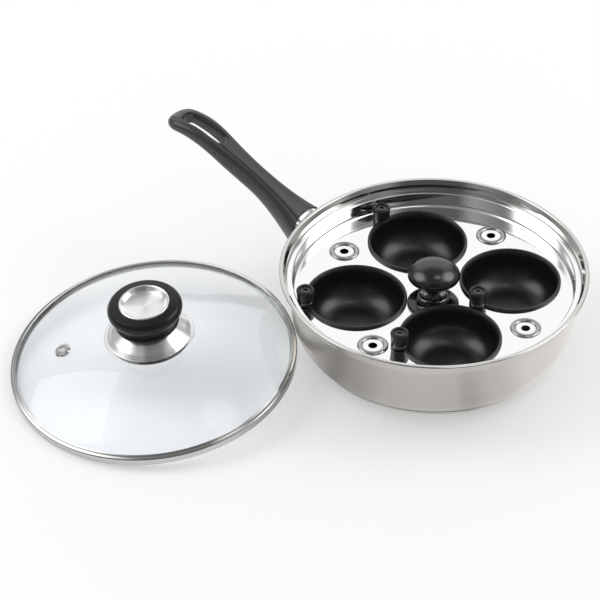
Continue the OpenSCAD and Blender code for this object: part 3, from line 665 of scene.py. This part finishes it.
def cut_with(piece, cutter, operation="DIFFERENCE"):
    """Cuts, or joins, one solid with another, which is then thrown away."""
    clear_bench(piece)
    step = piece.modifiers.new("cut", "BOOLEAN")
    step.operation = operation
    step.solver = "EXACT"
    step.object = cutter
    bpy.ops.object.modifier_apply(modifier=step.name)
    bpy.data.objects.remove(cutter)


def rod(radius, low, high, x=0.0, y=0.0, sides=96):
    """An upright cutter between two heights, in mm."""
    clear_bench()
    bpy.ops.mesh.primitive_cylinder_add(
        vertices=sides, radius=radius * MM, depth=(high - low) * MM,
        location=(x * MM, y * MM, (low + high) / 2 * MM))
    return bpy.context.object


def copy_of(piece, name):
    """A copy with its own mesh."""
    twin = piece.copy()
    twin.data = piece.data.copy()
    twin.name = twin.data.name = name
    bpy.context.scene.collection.objects.link(twin)
    return twin


def on_circle(r, turned):
    """The (x, y) of a point on a circle round the axis of the pan."""
    return r * cos(radians(turned)), r * sin(radians(turned))


BODY_OF = {node: body for body, nodes in frame["record"]["behaviour"]["bodies"].items()
           for node in nodes}


def stand_for(piece, node):
    """Lets a piece stand for a solid: it rides on the same body, and the solid is hidden."""
    points = [v.co for v in piece.data.vertices]
    off = max(abs(end(p[i] for p in points) - bound[i])
              for end, bound in zip((min, max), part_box(node)) for i in range(3)) / MM
    print(f"{piece.name}: off {off:.2f} mm, faces {len(piece.data.polygons)}")
    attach(piece, BODY_OF[node])
    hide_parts(node)


# %% [markdown]
# ## The pan
# One disc of steel is drawn into floor, rounded corner, leaning side, a step that seats the
# tray, a short upright mouth, and a lip that ends in a rolled edge.

# %% Pan outline
PAN_H, WALL, LIP_W, LIP_T = 59.5, 1.0, 3.0, 1.8
RIM_R, MOUTH_R, SEAT_Z, SEAT_W = 106.0, 101.0, 51.5, 2.6
DRAFT, CORNER_H = radians(4), 30.0
BASE_R, BASE_T = 84.0, 3.2
TOP_R = MOUTH_R + WALL - SEAT_W
LOW_R = TOP_R - (SEAT_Z - CORNER_H) * tan(DRAFT)
CORNER_DR, CORNER_DZ = LOW_R - BASE_R, CORNER_H - BASE_T
CORNER_R = (CORNER_DR ** 2 + CORNER_DZ ** 2) / (2 * CORNER_DR)
CORNER_X = LOW_R - CORNER_R
outer_turn = degrees(asin(CORNER_DZ / CORNER_R))
inner_turn = degrees(asin((CORNER_DZ - WALL) / (CORNER_R - WALL)))
bead = LIP_T / 2
pan_outline = (
    [(0, BASE_T)] + arc(CORNER_X, CORNER_H, CORNER_R, -outer_turn, 0, 28)
    + [(TOP_R, SEAT_Z - WALL), (MOUTH_R + WALL, SEAT_Z - WALL),
       (MOUTH_R + WALL, PAN_H - LIP_T - 2 * WALL), (RIM_R - LIP_W + WALL, PAN_H - LIP_T)]
    + arc(RIM_R - bead, PAN_H - bead, bead, -90, 90, 12)
    + [(RIM_R - LIP_W + 0.3, PAN_H), (RIM_R - LIP_W, PAN_H - 0.3),
       (MOUTH_R + 0.3, PAN_H - LIP_T - WALL), (MOUTH_R, SEAT_Z), (TOP_R - WALL, SEAT_Z)]
    + arc(CORNER_X, CORNER_H, CORNER_R - WALL, 0, -inner_turn, 28) + [(0, BASE_T + WALL)])
print("pan outline", len(pan_outline), "points")

# %% Pan body
pan = turn("pan_shell", pan_outline, SATIN, 256)
pan.data.materials.append(POLISHED)
for face in pan.data.polygons:
    r, z = hypot(face.center.x, face.center.y) / MM, face.center.z / MM
    looks_in = face.normal.x * face.center.x + face.normal.y * face.center.y < 0
    if (z > PAN_H - LIP_T - 0.2 or (z > SEAT_Z - 0.3 and r < MOUTH_R + 0.9)
            or (looks_in and z > BASE_T)):
        face.material_index = 1
stand_for(pan, "pan_body")

# %% Base cap
CAP_T, GROOVE = 0.6, 0.4
base = turn(
    "base_cap_pressed",
    [(0, 0), (BASE_R - CAP_T, 0), (BASE_R, CAP_T), (BASE_R, BASE_T - 0.9),
     (BASE_R - GROOVE, BASE_T - 0.5), (BASE_R - GROOVE, BASE_T), (BASE_R - CAP_T, BASE_T),
     (BASE_R - CAP_T, CAP_T), (0, CAP_T)], BASE_STEEL, 192, radius=0.15)
stand_for(base, "base_cap")

# %% [markdown]
# ## The tray
# The tray is stamped from thin sheet: a flange that lies on the pan's step, an upright wall, and
# a floor. The outline is spun, four raised rings are joined to it, and the holes for cups and
# vents are cut.

# %% Tray sizes
TRAY_T, TRAY_GAP, TRAY_TURN = 0.7, 0.4, 2.0
FLANGE_Z = SEAT_Z + TRAY_T
TRAY_Z = FLANGE_Z - 10.6
TRAY_R = MOUTH_R - TRAY_GAP
TRAY_WALL_R = TOP_R - WALL - (SEAT_Z - TRAY_Z) * tan(DRAFT) - TRAY_GAP
TRAY_IN_R = TRAY_WALL_R - TRAY_T
RING_R, RING_W, RING_H, VENT_D = 10.6, 3.9, 1.2, 6.2
VENT_PITCH = TRAY_IN_R - 11.7 - RING_R
CUP_RIM_R, CUP_RIM_W, CUP_RIM_H = 35.0, 2.4, 1.8
CUP_R = CUP_RIM_R - CUP_RIM_W
CUP_RIM_Z = TRAY_Z + CUP_RIM_H
KNOB_R, KNOB_H, WASHER_T = 6.3, 10.0, 0.8
KNOB_PITCH = CUP_RIM_R + 0.2
CUP_PITCH = TRAY_IN_R - 1.1 - KNOB_R - KNOB_PITCH
CUP_ANGLES = [225, 135, 45, 315]
KNOB_ANGLES = [225, 170, 263, 229]
print("cup pitch", round(CUP_PITCH, 2), "vent pitch", round(VENT_PITCH, 2))

# %% Tray body
outer = TRAY_TURN + TRAY_T
tray = turn(
    "tray_stamped",
    [(0, TRAY_Z - TRAY_T)]
    + arc(TRAY_WALL_R - outer, TRAY_Z - TRAY_T + outer, outer, -90, 0, 10)
    + [(TRAY_WALL_R, SEAT_Z), (TRAY_R, SEAT_Z), (TRAY_R, FLANGE_Z),
       (TRAY_IN_R + 0.6, FLANGE_Z), (TRAY_IN_R, FLANGE_Z - 0.6)]
    + arc(TRAY_IN_R - TRAY_TURN, TRAY_Z + TRAY_TURN, TRAY_TURN, 0, -90, 10)
    + [(0, TRAY_Z)], MIRROR, 192, radius=0.25)
low_ring = TRAY_Z - TRAY_T / 2
ring = turn(
    "vent_ring",
    [(RING_R - RING_W, low_ring), (RING_R, low_ring)]
    + arc(RING_R - RING_W / 2, TRAY_Z, RING_W / 2, 0, 180, 14, RING_H)
    + [(RING_R - RING_W, low_ring)], MIRROR, 72, radius=0)
VENTS = [on_circle(VENT_PITCH, 90 * i) for i in range(4)]
through = TRAY_Z - 3, TRAY_Z + 3
for i, (x, y) in enumerate(VENTS):
    twin = copy_of(ring, f"vent_ring_{i}")
    place(twin, Matrix.Translation((x * MM, y * MM, 0)))
    cut_with(tray, twin, "UNION")
    cut_with(tray, rod(VENT_D / 2, *through, x, y, 48))
for angle in CUP_ANGLES:
    cut_with(tray, rod(CUP_R + 0.5, *through, *on_circle(CUP_PITCH, angle)))
cut_with(tray, rod(2.2, *through, sides=32))
bpy.data.objects.remove(ring)
# The cuts add slots of their own, so the finish of the rings, darker partly as painted reflection,
# is the last one.
tray.data.materials.append(VENT_TONE_AND_DARK_REFLECTION)
for face in tray.data.polygons:
    out = min(hypot(face.center.x / MM - x, face.center.y / MM - y) for x, y in VENTS)
    if RING_R - RING_W - 0.1 < out < RING_R + 0.1 and face.center.z / MM > TRAY_Z + 0.02:
        face.material_index = len(tray.data.materials) - 1
smooth_faces()
stand_for(tray, "egg_tray")

# %% [markdown]
# ## The tray's knob
# A glossy mushroom: its dome is a quarter of an ellipse, and its underside sweeps in to a polished
# collar, which narrows in a hollow curve to the tray. The collar's steel is darkened as painted
# shade.

# %% Tray knob
HEAD_R, NECK_R, WAIST_Z, UNDER_H, DOME_H = 18.0, 10.0, TRAY_Z + 12.4, 6, 9.4
COLLAR_FOOT_R, COLLAR_H = 7.5, 6.6
foot = TRAY_Z + COLLAR_H
sweep = 0.94 * HEAD_R - NECK_R
knob = turn(
    "tray_knob_moulded",
    [(0, foot), (NECK_R, foot)]
    + arc(NECK_R + sweep, foot + 0.8, -sweep, 0, 90, 12, WAIST_Z - foot - 2.2)
    + arc(0, WAIST_Z, HEAD_R, -10, -5, 1, UNDER_H)
    + arc(0, WAIST_Z, HEAD_R, 0, 85, 17, DOME_H) + [(0, WAIST_Z + DOME_H)],
    GLOSS, 128, radius=0.4)
stand_for(knob, "tray_knob")
collar_r = NECK_R + 0.6
# Its dark steel is painted shade from the knob's head above it.
collar = turn(
    "tray_knob_collar_turned",
    [(2.2, TRAY_Z), (COLLAR_FOOT_R - 0.3, TRAY_Z)]
    + arc(collar_r, TRAY_Z + 0.3, COLLAR_FOOT_R - collar_r, 0, 90, 12, COLLAR_H - 1.3)
    + [(collar_r, foot - 0.5), (collar_r - 0.5, foot), (2.2, foot), (2.2, TRAY_Z)],
    COLLAR_STEEL_PAINTED_SHADE, 96, radius=0.15)
stand_for(collar, "tray_knob_collar")

# %% [markdown]
# ## The cups
# One cup is modelled on the axis with its ear towards +X, then copied four times and turned.

# %% Cup
CUP_WALL, FLOOR_R = 0.9, 16.0
CUP_BASE_Z = CUP_RIM_Z - 25 - CUP_WALL
TURN_R = CUP_R - FLOOR_R
turn_z = CUP_BASE_Z + TURN_R
bead = CUP_RIM_H / 2
cup = turn(
    "cup_pattern",
    [(0, CUP_BASE_Z)] + arc(FLOOR_R, turn_z, TURN_R, -90, 0, 22)
    + [(CUP_R, TRAY_Z), (CUP_RIM_R - 0.4, TRAY_Z), (CUP_RIM_R, TRAY_Z + 0.4)]
    + arc(CUP_RIM_R - bead, CUP_RIM_Z - bead, bead, 0, 90, 8)
    + [(CUP_R + 0.75, CUP_RIM_Z), (CUP_R + 0.45, CUP_RIM_Z - 0.35),
       (CUP_R - 0.4, CUP_RIM_Z - 1.7), (CUP_R - CUP_WALL, CUP_RIM_Z - 3.6)]
    + arc(FLOOR_R, turn_z, TURN_R - CUP_WALL, 0, -90, 22) + [(0, CUP_BASE_Z + CUP_WALL)],
    COATING, 144, radius=0.35)
EAR_R, EAR_T, EAR_ROOT_R, EAR_SUNK, PIN_R = KNOB_R - 0.4, 1.1, 33.4, 0.03, 1.7
ear = fill("ear", [(x, y, CUP_RIM_Z - EAR_SUNK)
                   for x, y in arc(KNOB_PITCH, 0, EAR_R, -90, 90, 24)
                   + arc(0, 0, EAR_ROOT_R, 10.1, -10.1, 10)], weld=1e-6)
push((0, 0, -(EAR_T - EAR_SUNK) * MM))
close_up()
cut_with(cup, ear, "UNION")
cut_with(cup, rod(PIN_R, TRAY_Z - 2, CUP_RIM_Z + 2, KNOB_PITCH, 0, 32))
bpy.data.meshes[cup.data.name].attributes.remove(cup.data.attributes["own_place"])
keep_place(cup)
smooth_faces()

# %% Thumb knob, washer and screw
knob_z = CUP_RIM_Z + WASHER_T
knob_top = knob_z + KNOB_H
HEAD_SCREW_R, RECESS, TAPER = 3.78, 2.7, 0.7
thumb_foot_r = KNOB_R - TAPER
WASHER_R = thumb_foot_r - 0.4
thumb = turn(
    "thumb_pattern",
    [(0, knob_z), (thumb_foot_r - 0.5, knob_z), (thumb_foot_r, knob_z + 0.5),
     (KNOB_R - 0.2, knob_top - 3.2), (KNOB_R, knob_top - 1.8),
     (KNOB_R - 0.2, knob_top - 0.9), (KNOB_R - 0.8, knob_top - 0.25),
     (KNOB_R - 1.6, knob_top), (HEAD_SCREW_R + 0.5, knob_top),
     (HEAD_SCREW_R, knob_top - 0.4), (HEAD_SCREW_R, knob_top - RECESS),
     (0, knob_top - RECESS)], THUMB, 72, radius=0.35)
washer = turn(
    "washer_pattern",
    [(PIN_R, CUP_RIM_Z), (WASHER_R, CUP_RIM_Z), (WASHER_R, knob_z), (PIN_R, knob_z),
     (PIN_R, CUP_RIM_Z)], BRIGHT, 72, radius=0.2)
screw_z = knob_top - RECESS
screw = turn(
    "screw_pattern",
    [(0, CUP_RIM_Z - EAR_T), (1.5, CUP_RIM_Z - EAR_T), (1.5, screw_z),
     (HEAD_SCREW_R - 0.2, screw_z), (HEAD_SCREW_R - 0.2, screw_z + 1.5),
     (0, screw_z + 1.5)], SOCKET_STEEL, 48, radius=0.2)
cut_with(screw, rod(HEAD_SCREW_R * 0.5, screw_z + 0.6, screw_z + 3, sides=6))
smooth_faces()

# %% Four cups with their knobs
for number, (at, towards) in enumerate(zip(CUP_ANGLES, KNOB_ANGLES), start=1):
    x, y = on_circle(CUP_PITCH, at)
    axis = (Matrix.Translation((x * MM, y * MM, 0))
            @ Matrix.Rotation(radians(towards), 4, "Z"))
    out_to_knob = axis @ Matrix.Translation((KNOB_PITCH * MM, 0, 0))
    for pattern, suffix, where_to in ((cup, "", axis), (thumb, "_knob", out_to_knob),
                                      (washer, "_washer", out_to_knob),
                                      (screw, "_screw", out_to_knob)):
        twin = copy_of(pattern, f"coated_cup_{number}{suffix}")
        place(twin, where_to)
        stand_for(twin, f"cup_{number}{suffix}")
for pattern in (cup, thumb, washer, screw):
    bpy.data.objects.remove(pattern)

# %% [markdown]
# ## The handle
# The grip is one section, filled, extruded from station to station, and scaled at each about
# the middle of its top edge, which follows the top line of the grip.

# %% Grip form
ROOT_Z, SLOPE, STRAIGHT, CROWN_RUN, GRIP_LEN = PAN_H + 1.2, 0.49, 73.0, 28.0, 118.0
ROOT_W, WAIST_W, PALM_W, ROOT_H, WAIST_H, PALM_H = 34.0, 16.2, 24.0, 27.0, 18.0, 15.0
WAIST_AT, PALM_AT, END_R = 0.38 * GRIP_LEN, 0.8 * GRIP_LEN, PALM_W / 2
TIP_SHARE, TIP_FROM = 0.68, 0.66 * GRIP_LEN
SLOT_THIN, THIN_FROM, THIN_OVER = 0.12, 64, 26
ROOT_CURVE, END_SHARE, END_DROP, CROWDING = 2.2, 0.12, 0.42, 1.35
HALF_SECTION = [(0, 0), (0.3, 0.004), (0.49, 0.02), (0.57, 0.07), (0.64, 0.068), (0.8, 0.115),
                (0.94, 0.23), (1, 0.38), (1, 0.56), (0.95, 0.74), (0.85, 0.88), (0.7, 0.97),
                (0.5, 1), (0, 1)]


def ease(t):
    """A smooth step from 0 to 1."""
    u = min(max(t, 0), 1)
    return u * u * (3 - 2 * u)


def grip_top(d):
    """Height of the top of the grip at a distance from the rim, in mm."""
    return ROOT_Z + SLOPE * (d if d < STRAIGHT else d - (d - STRAIGHT) ** 2 / (2 * CROWN_RUN))


def grip_size(d, inset=0.0):
    """Half width, height and top of the grip's section at a distance from the rim."""
    past = (d - GRIP_LEN + END_R) / END_R
    close = 1 if past < 0 else sqrt(max(0.004, 1 - past ** 2))
    swell = ease((d - WAIST_AT) / (PALM_AT - WAIST_AT))
    if d < WAIST_AT:
        width = WAIST_W + (ROOT_W - WAIST_W) * (1 - max(d, 0) / WAIST_AT) ** ROOT_CURVE
        height = WAIST_H + (ROOT_H - WAIST_H) * (1 - ease(d / WAIST_AT))
    else:
        width = WAIST_W + (PALM_W - WAIST_W) * swell
        height = WAIST_H + (PALM_H - WAIST_H) * swell
        height *= 1 - (1 - TIP_SHARE) * ease((d - TIP_FROM) / (GRIP_LEN - TIP_FROM))
        height *= 1 - SLOT_THIN * ease((d - THIN_FROM) / THIN_OVER)
    half = max(width * close / 2 - inset, 0.3)
    top = grip_top(d) - inset - (1 - close) * height * END_DROP
    return half, (height - 2 * inset) * (END_SHARE + (1 - END_SHARE) * close), top


def smooth_section(points, between=3):
    """More points on a smooth line through the half section."""
    dense = []
    for i in range(len(points) - 1):
        p0, p1 = points[max(i - 1, 0)], points[i]
        p2, p3 = points[i + 1], points[min(i + 2, len(points) - 1)]
        for k in range(between):
            t = k / between
            dense.append(tuple(
                b + 0.5 * ((c - a) * t + (2 * a - 5 * b + 4 * c - d) * t * t
                           + (3 * b - a - 3 * c + d) * t ** 3)
                for a, b, c, d in zip(p0, p1, p2, p3)))
    dense.append(points[-1])
    return [(min(max(x, 0), 1), min(max(z, 0), 1)) for x, z in dense]


SECTION = smooth_section(HALF_SECTION)


def loft(name, start, end, steps, inset=0.0):
    """Pushes the grip's section from one distance from the rim to another."""
    half, height, top = grip_size(start, inset)
    right = [(-RIM_R - start, half * x, top - height * z) for x, z in SECTION]
    piece = fill(name, right + [(x, -y, z) for x, y, z in right[-2:0:-1]])
    here = start
    for i in range(1, steps + 1):
        after = start + (end - start) * (1 - (1 - i / steps) ** CROWDING)
        new_half, new_height, new_top = grip_size(after, inset)
        push((-(after - here) * MM, 0, (new_top - top) * MM))
        bpy.ops.transform.resize(value=(1, new_half / half, new_height / height),
                                 center_override=((-RIM_R - after) * MM, 0, new_top * MM))
        half, height, top, here = new_half, new_height, new_top, after
    close_up()
    return piece


grip = loft("grip_moulded", -5, GRIP_LEN, 64)
print("grip", [round(v / MM, 1) for v in grip.dimensions], "faces", len(grip.data.polygons))

# %% Cuts in the grip
SLOT_W, SLOT_LEN, SLOT_INSET = 10.0, 36.0, 12.0
slot_start = GRIP_LEN - SLOT_INSET - SLOT_LEN
slot_mid = slot_start + SLOT_LEN / 2
slot_lean = atan(SLOPE * (1 - max(slot_mid - STRAIGHT, 0) / CROWN_RUN))
GUARD_REACH, GUARD_INSET, GUARD_WALL = 6.0, 1.1, 1.6
BOLT_D, BOLT_AT = 5.0, 0.42
bolt_lean = atan(SLOPE)
bolt_z = grip_top(0) - ROOT_H * BOLT_AT


def along_bolt(start, end, radius):
    """A cutter along the line of the long bolt."""
    bpy.ops.mesh.primitive_cylinder_add(vertices=32, radius=radius * MM,
                                        depth=(end - start) / cos(bolt_lean) * MM)
    pin = bpy.context.object
    middle = (start + end) / 2
    place(pin, Matrix.Translation(((-RIM_R - middle) * MM, 0, (bolt_z + SLOPE * middle) * MM))
          @ Matrix.Rotation(-pi / 2 + bolt_lean, 4, "Y"))
    return pin


cut_with(grip, rod(RIM_R + 2.2, -5, 180, sides=256))
cut_with(grip, loft("socket", -6, GUARD_REACH + 0.1, 10, GUARD_INSET - 0.1))
cut_with(grip, along_bolt(0, 15, BOLT_D / 2 + 2.2))
cut_with(grip, along_bolt(14, slot_start + 1, BOLT_D / 2 + 0.2))
cut_with(grip, along_bolt(slot_start - 4, slot_start + SLOT_W / 2, 0.9 * BOLT_D + 0.2))
half_stadium = arc((SLOT_LEN - SLOT_W) / 2, 0, SLOT_W / 2, -90, 90, 20)
stadium = half_stadium + [(-x, -y) for x, y in half_stadium]
# The cutter is wider above the grip and narrows in three rings, which rounds the rim of the slot.
# Below them it widens, so that the table shows through.
RIM_RINGS = [(1.3, 7), (1.3, 0.3), (0.95, -0.3), (0.4, -0.9), (0, -1.7)]  # wider, above
SLOT_DEPTH, SLOT_FLARE = 25, 1.7
middle_x = -RIM_R - slot_mid


def slot_point(x, y, wider, above):
    """A point of the slot's outline, moved outwards, at a height above the top of the grip."""
    far_x, far_y = x * (1 + 2 * wider / SLOT_LEN), y * (1 + 2 * wider / SLOT_W)
    return (middle_x + far_x, far_y, grip_top(slot_mid - far_x) + above)


slot = fill("slot", [slot_point(x, y, *RIM_RINGS[0]) for x, y in stadium])
for (wide, high), (narrow, low) in zip(RIM_RINGS, RIM_RINGS[1:]):
    push((0, 0, (low - high) * MM))
    bpy.ops.transform.resize(value=((SLOT_LEN + 2 * narrow) / (SLOT_LEN + 2 * wide),
                                    (SLOT_W + 2 * narrow) / (SLOT_W + 2 * wide), 1),
                             center_override=(middle_x * MM, 0, 0))
push((-SLOT_DEPTH * sin(slot_lean) * MM, 0, -SLOT_DEPTH * cos(slot_lean) * MM))
bpy.ops.transform.resize(value=(1, SLOT_FLARE, 1), center_override=(middle_x * MM, 0, 0))
close_up()
cut_with(grip, slot)
grip.data.materials.append(GRIP)
smooth_faces(38)
stand_for(grip, "handle_grip")

# %% Flame guard
guard = loft("guard_sleeve", TOP_R - RIM_R - 1, GUARD_REACH, 8, GUARD_INSET)
cut_with(guard, loft("guard_inside", TOP_R - RIM_R - 2, GUARD_REACH + 1, 8,
                     GUARD_INSET + GUARD_WALL))
gap = 0.1
step_z, lip_z = SEAT_Z - WALL - gap, PAN_H - LIP_T - gap
inside_pan = turn(
    "inside_pan",
    [(0, 0), (LOW_R + gap, 0), (LOW_R + gap, CORNER_H),
     (TOP_R + gap, step_z), (MOUTH_R + WALL + gap, step_z),
     (MOUTH_R + WALL + gap, lip_z - 2 * WALL),
     (RIM_R - LIP_W + WALL + gap, lip_z), (RIM_R + gap, lip_z),
     (RIM_R + gap, 90), (0, 90)], BRIGHT, 256, radius=0)
cut_with(guard, inside_pan)
guard.data.materials.clear()
keep_place(guard)
guard.data.materials.append(BRIGHT)
smooth_faces(38)
stand_for(guard, "flame_guard")

# %% [markdown]
# ## The lid
# The lid is spun level on its own axis, piece by piece, and then carried to where it leans on
# the pan.

# %% Lid frame
LID_R, BAND_H, BAND_LAP, BAND_FOOT, BAND_T = 98.5, 5.0, 3.8, 6.0, 0.8
GLASS_T, DOME_TOP = 3.0, 27.3
GLASS_R = LID_R - BAND_T - 0.4
EDGE_H = BAND_H - BAND_T - 0.2
dome_rise = DOME_TOP - EDGE_H
DOME_R = (GLASS_R ** 2 + dome_rise ** 2) / (2 * dome_rise)
TILT, TILT_AT, LID_AT = radians(6.5), radians(-106), radians(227)
BAND_ROUND, LEAN_GAP = 1.5, 0.1


def glass_top(r):
    """Height of the top of the glass at a distance from the lid's axis."""
    return DOME_TOP - DOME_R + sqrt(DOME_R ** 2 - r ** 2)


def pan_side_r(z):
    """Radius of the pan's side at a height."""
    if z > CORNER_H:
        return LOW_R + (z - CORNER_H) * tan(DRAFT)
    return CORNER_X + sqrt(CORNER_R ** 2 - (CORNER_H - z) ** 2)


lid_z = LID_R * sin(TILT)
lean_h = lid_z * (1 + cos(LID_AT - TILT_AT))
lid_out = pan_side_r(lean_h + BAND_H - BAND_ROUND) + LID_R * cos(TILT) + LEAN_GAP
LID_PLACE = (Matrix.Rotation(LID_AT, 4, "Z") @ Matrix.Translation((lid_out * MM, 0, lid_z * MM))
             @ Matrix.Rotation(TILT_AT - LID_AT, 4, "Z") @ Matrix.Rotation(TILT, 4, "Y")
             @ Matrix.Rotation(LID_AT - TILT_AT, 4, "Z"))
VENT_AT, VENT_OUT, BORE_R = radians(218.5), 60, 2.7
VENT_PLACE = (Matrix.Rotation(VENT_AT - LID_AT, 4, "Z")
              @ Matrix.Translation((VENT_OUT * MM, 0, glass_top(VENT_OUT) * MM))
              @ Matrix.Rotation(asin(VENT_OUT / DOME_R), 4, "Y"))
print("lid axis at", [round(v / MM, 1) for v in LID_PLACE.translation])

# %% Glass
dome = [(r, glass_top(r)) for r in [BORE_R] + [GLASS_R * i / 48 for i in range(2, 49)]]
under = [(r, z - GLASS_T) for r, z in dome]
glass = turn(
    "lid_dome",
    dome + [(GLASS_R, under[-1][1] + 0.6),
            (GLASS_R - 0.6, glass_top(GLASS_R - 0.6) - GLASS_T)]
    + under[-2::-1] + dome[:1], GLASS, 192)
drill = rod(3.2, -6, 4, sides=48)
place(drill, VENT_PLACE)
cut_with(glass, drill)
smooth_faces()
place(glass, LID_PLACE)
stand_for(glass, "lid_glass")

# %% Band
lap_r, foot_r, mid_r = LID_R - BAND_LAP, LID_R - BAND_FOOT, LID_R - BAND_T
lap_h, edge_h = glass_top(lap_r) + 0.1, glass_top(GLASS_R) + 0.1


def on_lap(r, sunk=0.0):
    """A point on the top of the band where it laps over the glass."""
    return (r, glass_top(r) + 0.1 + BAND_T - sunk)


band = turn(
    "lid_band_rolled",
    [(LID_R, 0)] + arc(LID_R - BAND_ROUND, BAND_H - BAND_ROUND, BAND_ROUND, 0, 80, 12)
    + [on_lap(lap_r + 1.9), on_lap(lap_r + 1.6, 0.3), on_lap(lap_r + 1.3, 0.3),
       on_lap(lap_r + 1.0), on_lap(lap_r + 0.3), (lap_r, lap_h + BAND_T / 2),
       (lap_r, lap_h), (mid_r - 0.2, edge_h), (mid_r, edge_h - 0.2), (mid_r, BAND_T),
       (foot_r, BAND_T), (foot_r, 0), (LID_R, 0)], BAND, 256, radius=0.2)
place(band, LID_PLACE)
stand_for(band, "lid_band")

# %% Eyelet
eyelet = turn(
    "vent_eyelet_turned",
    [(2.5, 0.8), (3.0, 1.3), (4.8, 1.2), (6.0, 0.4), (6.0, 0.1), (3.0, 0.1), (3.0, -3.1),
     (4.0, -3.1), (4.0, -3.8), (2.5, -3.8), (2.5, 0.8)], BRIGHT, 64, radius=0.2)
place(eyelet, LID_PLACE @ VENT_PLACE)
stand_for(eyelet, "lid_vent_eyelet")

# %% Cone
CONE_R, CONE_RIM, CONE_H, CONE_T = 31.0, 2.6, 11.0, 0.8
KNOB_FOOT_R = 22.0
cone_foot = glass_top(CONE_R - CONE_RIM) + 0.1
cone_top = cone_foot + CONE_H
slope_r, top_r = CONE_R - CONE_RIM, KNOB_FOOT_R * 0.7
cone = turn(
    "lid_cone_spun",
    [(BORE_R, cone_top), (BORE_R, cone_top - CONE_T), (top_r - 0.8, cone_top - CONE_T),
     (slope_r - 3.6, cone_foot + CONE_T + 1.8), (slope_r - CONE_T, cone_foot),
     (CONE_R - 0.3, cone_foot - 0.02), (CONE_R, cone_foot + 0.3),
     (CONE_R - 0.3, cone_foot + CONE_T), (slope_r, cone_foot + CONE_T),
     (slope_r - 3, cone_foot + CONE_T + 2.6), (top_r, cone_top - 0.4),
     (top_r - 0.6, cone_top), (BORE_R, cone_top)], BRUSHED, 160, radius=0.5)
place(cone, LID_PLACE)
stand_for(cone, "lid_knob_base")

# %% Grip ring of the lid
LID_KNOB_R, LID_KNOB_H, CAP_R, CAP_T, DISH = 25.5, 18.5, 17.3, 1.0, 3.0
foot = cone_top + 0.1
knob_top_h, pocket_r, waist_r = cone_top + LID_KNOB_H, CAP_R + 0.1, KNOB_FOOT_R - 2.2
height, pocket_h = knob_top_h - foot, knob_top_h - DISH - CAP_T - 0.6
SIDE = [(0, 0.25), (0.1, 0.3), (0.4, 0.39), (0.7, 0.48), (0.91, 0.58), (1, 0.69), (0.96, 0.78),
        (0.82, 0.86), (0.58, 0.93)]
side = [(waist_r + (LID_KNOB_R - waist_r) * out, foot + height * up)
        for out, up in smooth_section(SIDE)]
grip_ring = turn(
    "lid_grip_ring",
    [(0, foot), (KNOB_FOOT_R - 1.6, foot), (KNOB_FOOT_R - 0.4, foot + 0.5),
     (KNOB_FOOT_R, foot + 0.09 * height), (KNOB_FOOT_R - 0.7, foot + 0.15 * height),
     (KNOB_FOOT_R - 1.9, foot + 0.2 * height)]
    + side + [(pocket_r + 0.8, knob_top_h - 0.5), (pocket_r, knob_top_h - 0.5),
              (pocket_r, pocket_h), (0, pocket_h)], LID_GRIP, 144, radius=0.5)
place(grip_ring, LID_PLACE)
stand_for(grip_ring, "lid_knob_grip")

# %% Dished cap
floor_h = knob_top_h - DISH - 0.5
cap = turn(
    "lid_cap_dished",
    [(0, floor_h - CAP_T + 0.1), (CAP_R, floor_h - CAP_T + 0.1)]
    + arc(CAP_R - 0.8, knob_top_h - 0.8, 0.8, 0, 90, 8)
    + [(CAP_R - 1.6, knob_top_h - 0.2), (CAP_R - 3, knob_top_h - DISH * 0.55)]
    + [((CAP_R - 4) * k / 10, floor_h + 0.35 * DISH * (k / 10) ** 3)
       for k in range(10, -1, -1)], BRUSHED, 144, radius=0.4)
place(cap, LID_PLACE)
stand_for(cap, "lid_knob_cap")

# %% [markdown]
# ## Solids that stay
# These are hidden or nearly so. Their solids have the right shape and only get a finish.

# %% Finishes of the solids that stay
KEPT = {ALUMINIUM: ["base_core"], SILICONE: ["lid_knob_gasket"],
        PLAIN_STEEL: ["handle_bracket", "handle_bolt", "tray_knob_screw", "lid_knob_screw",
                      "lid_knob_washer"]}
for material, names in KEPT.items():
    for name in names:
        solid = frame["nodes"][name]
        solid.data.materials.clear()
        solid.data.materials.append(material)
clear_bench()
print("solids kept", sum(KEPT.values(), []))
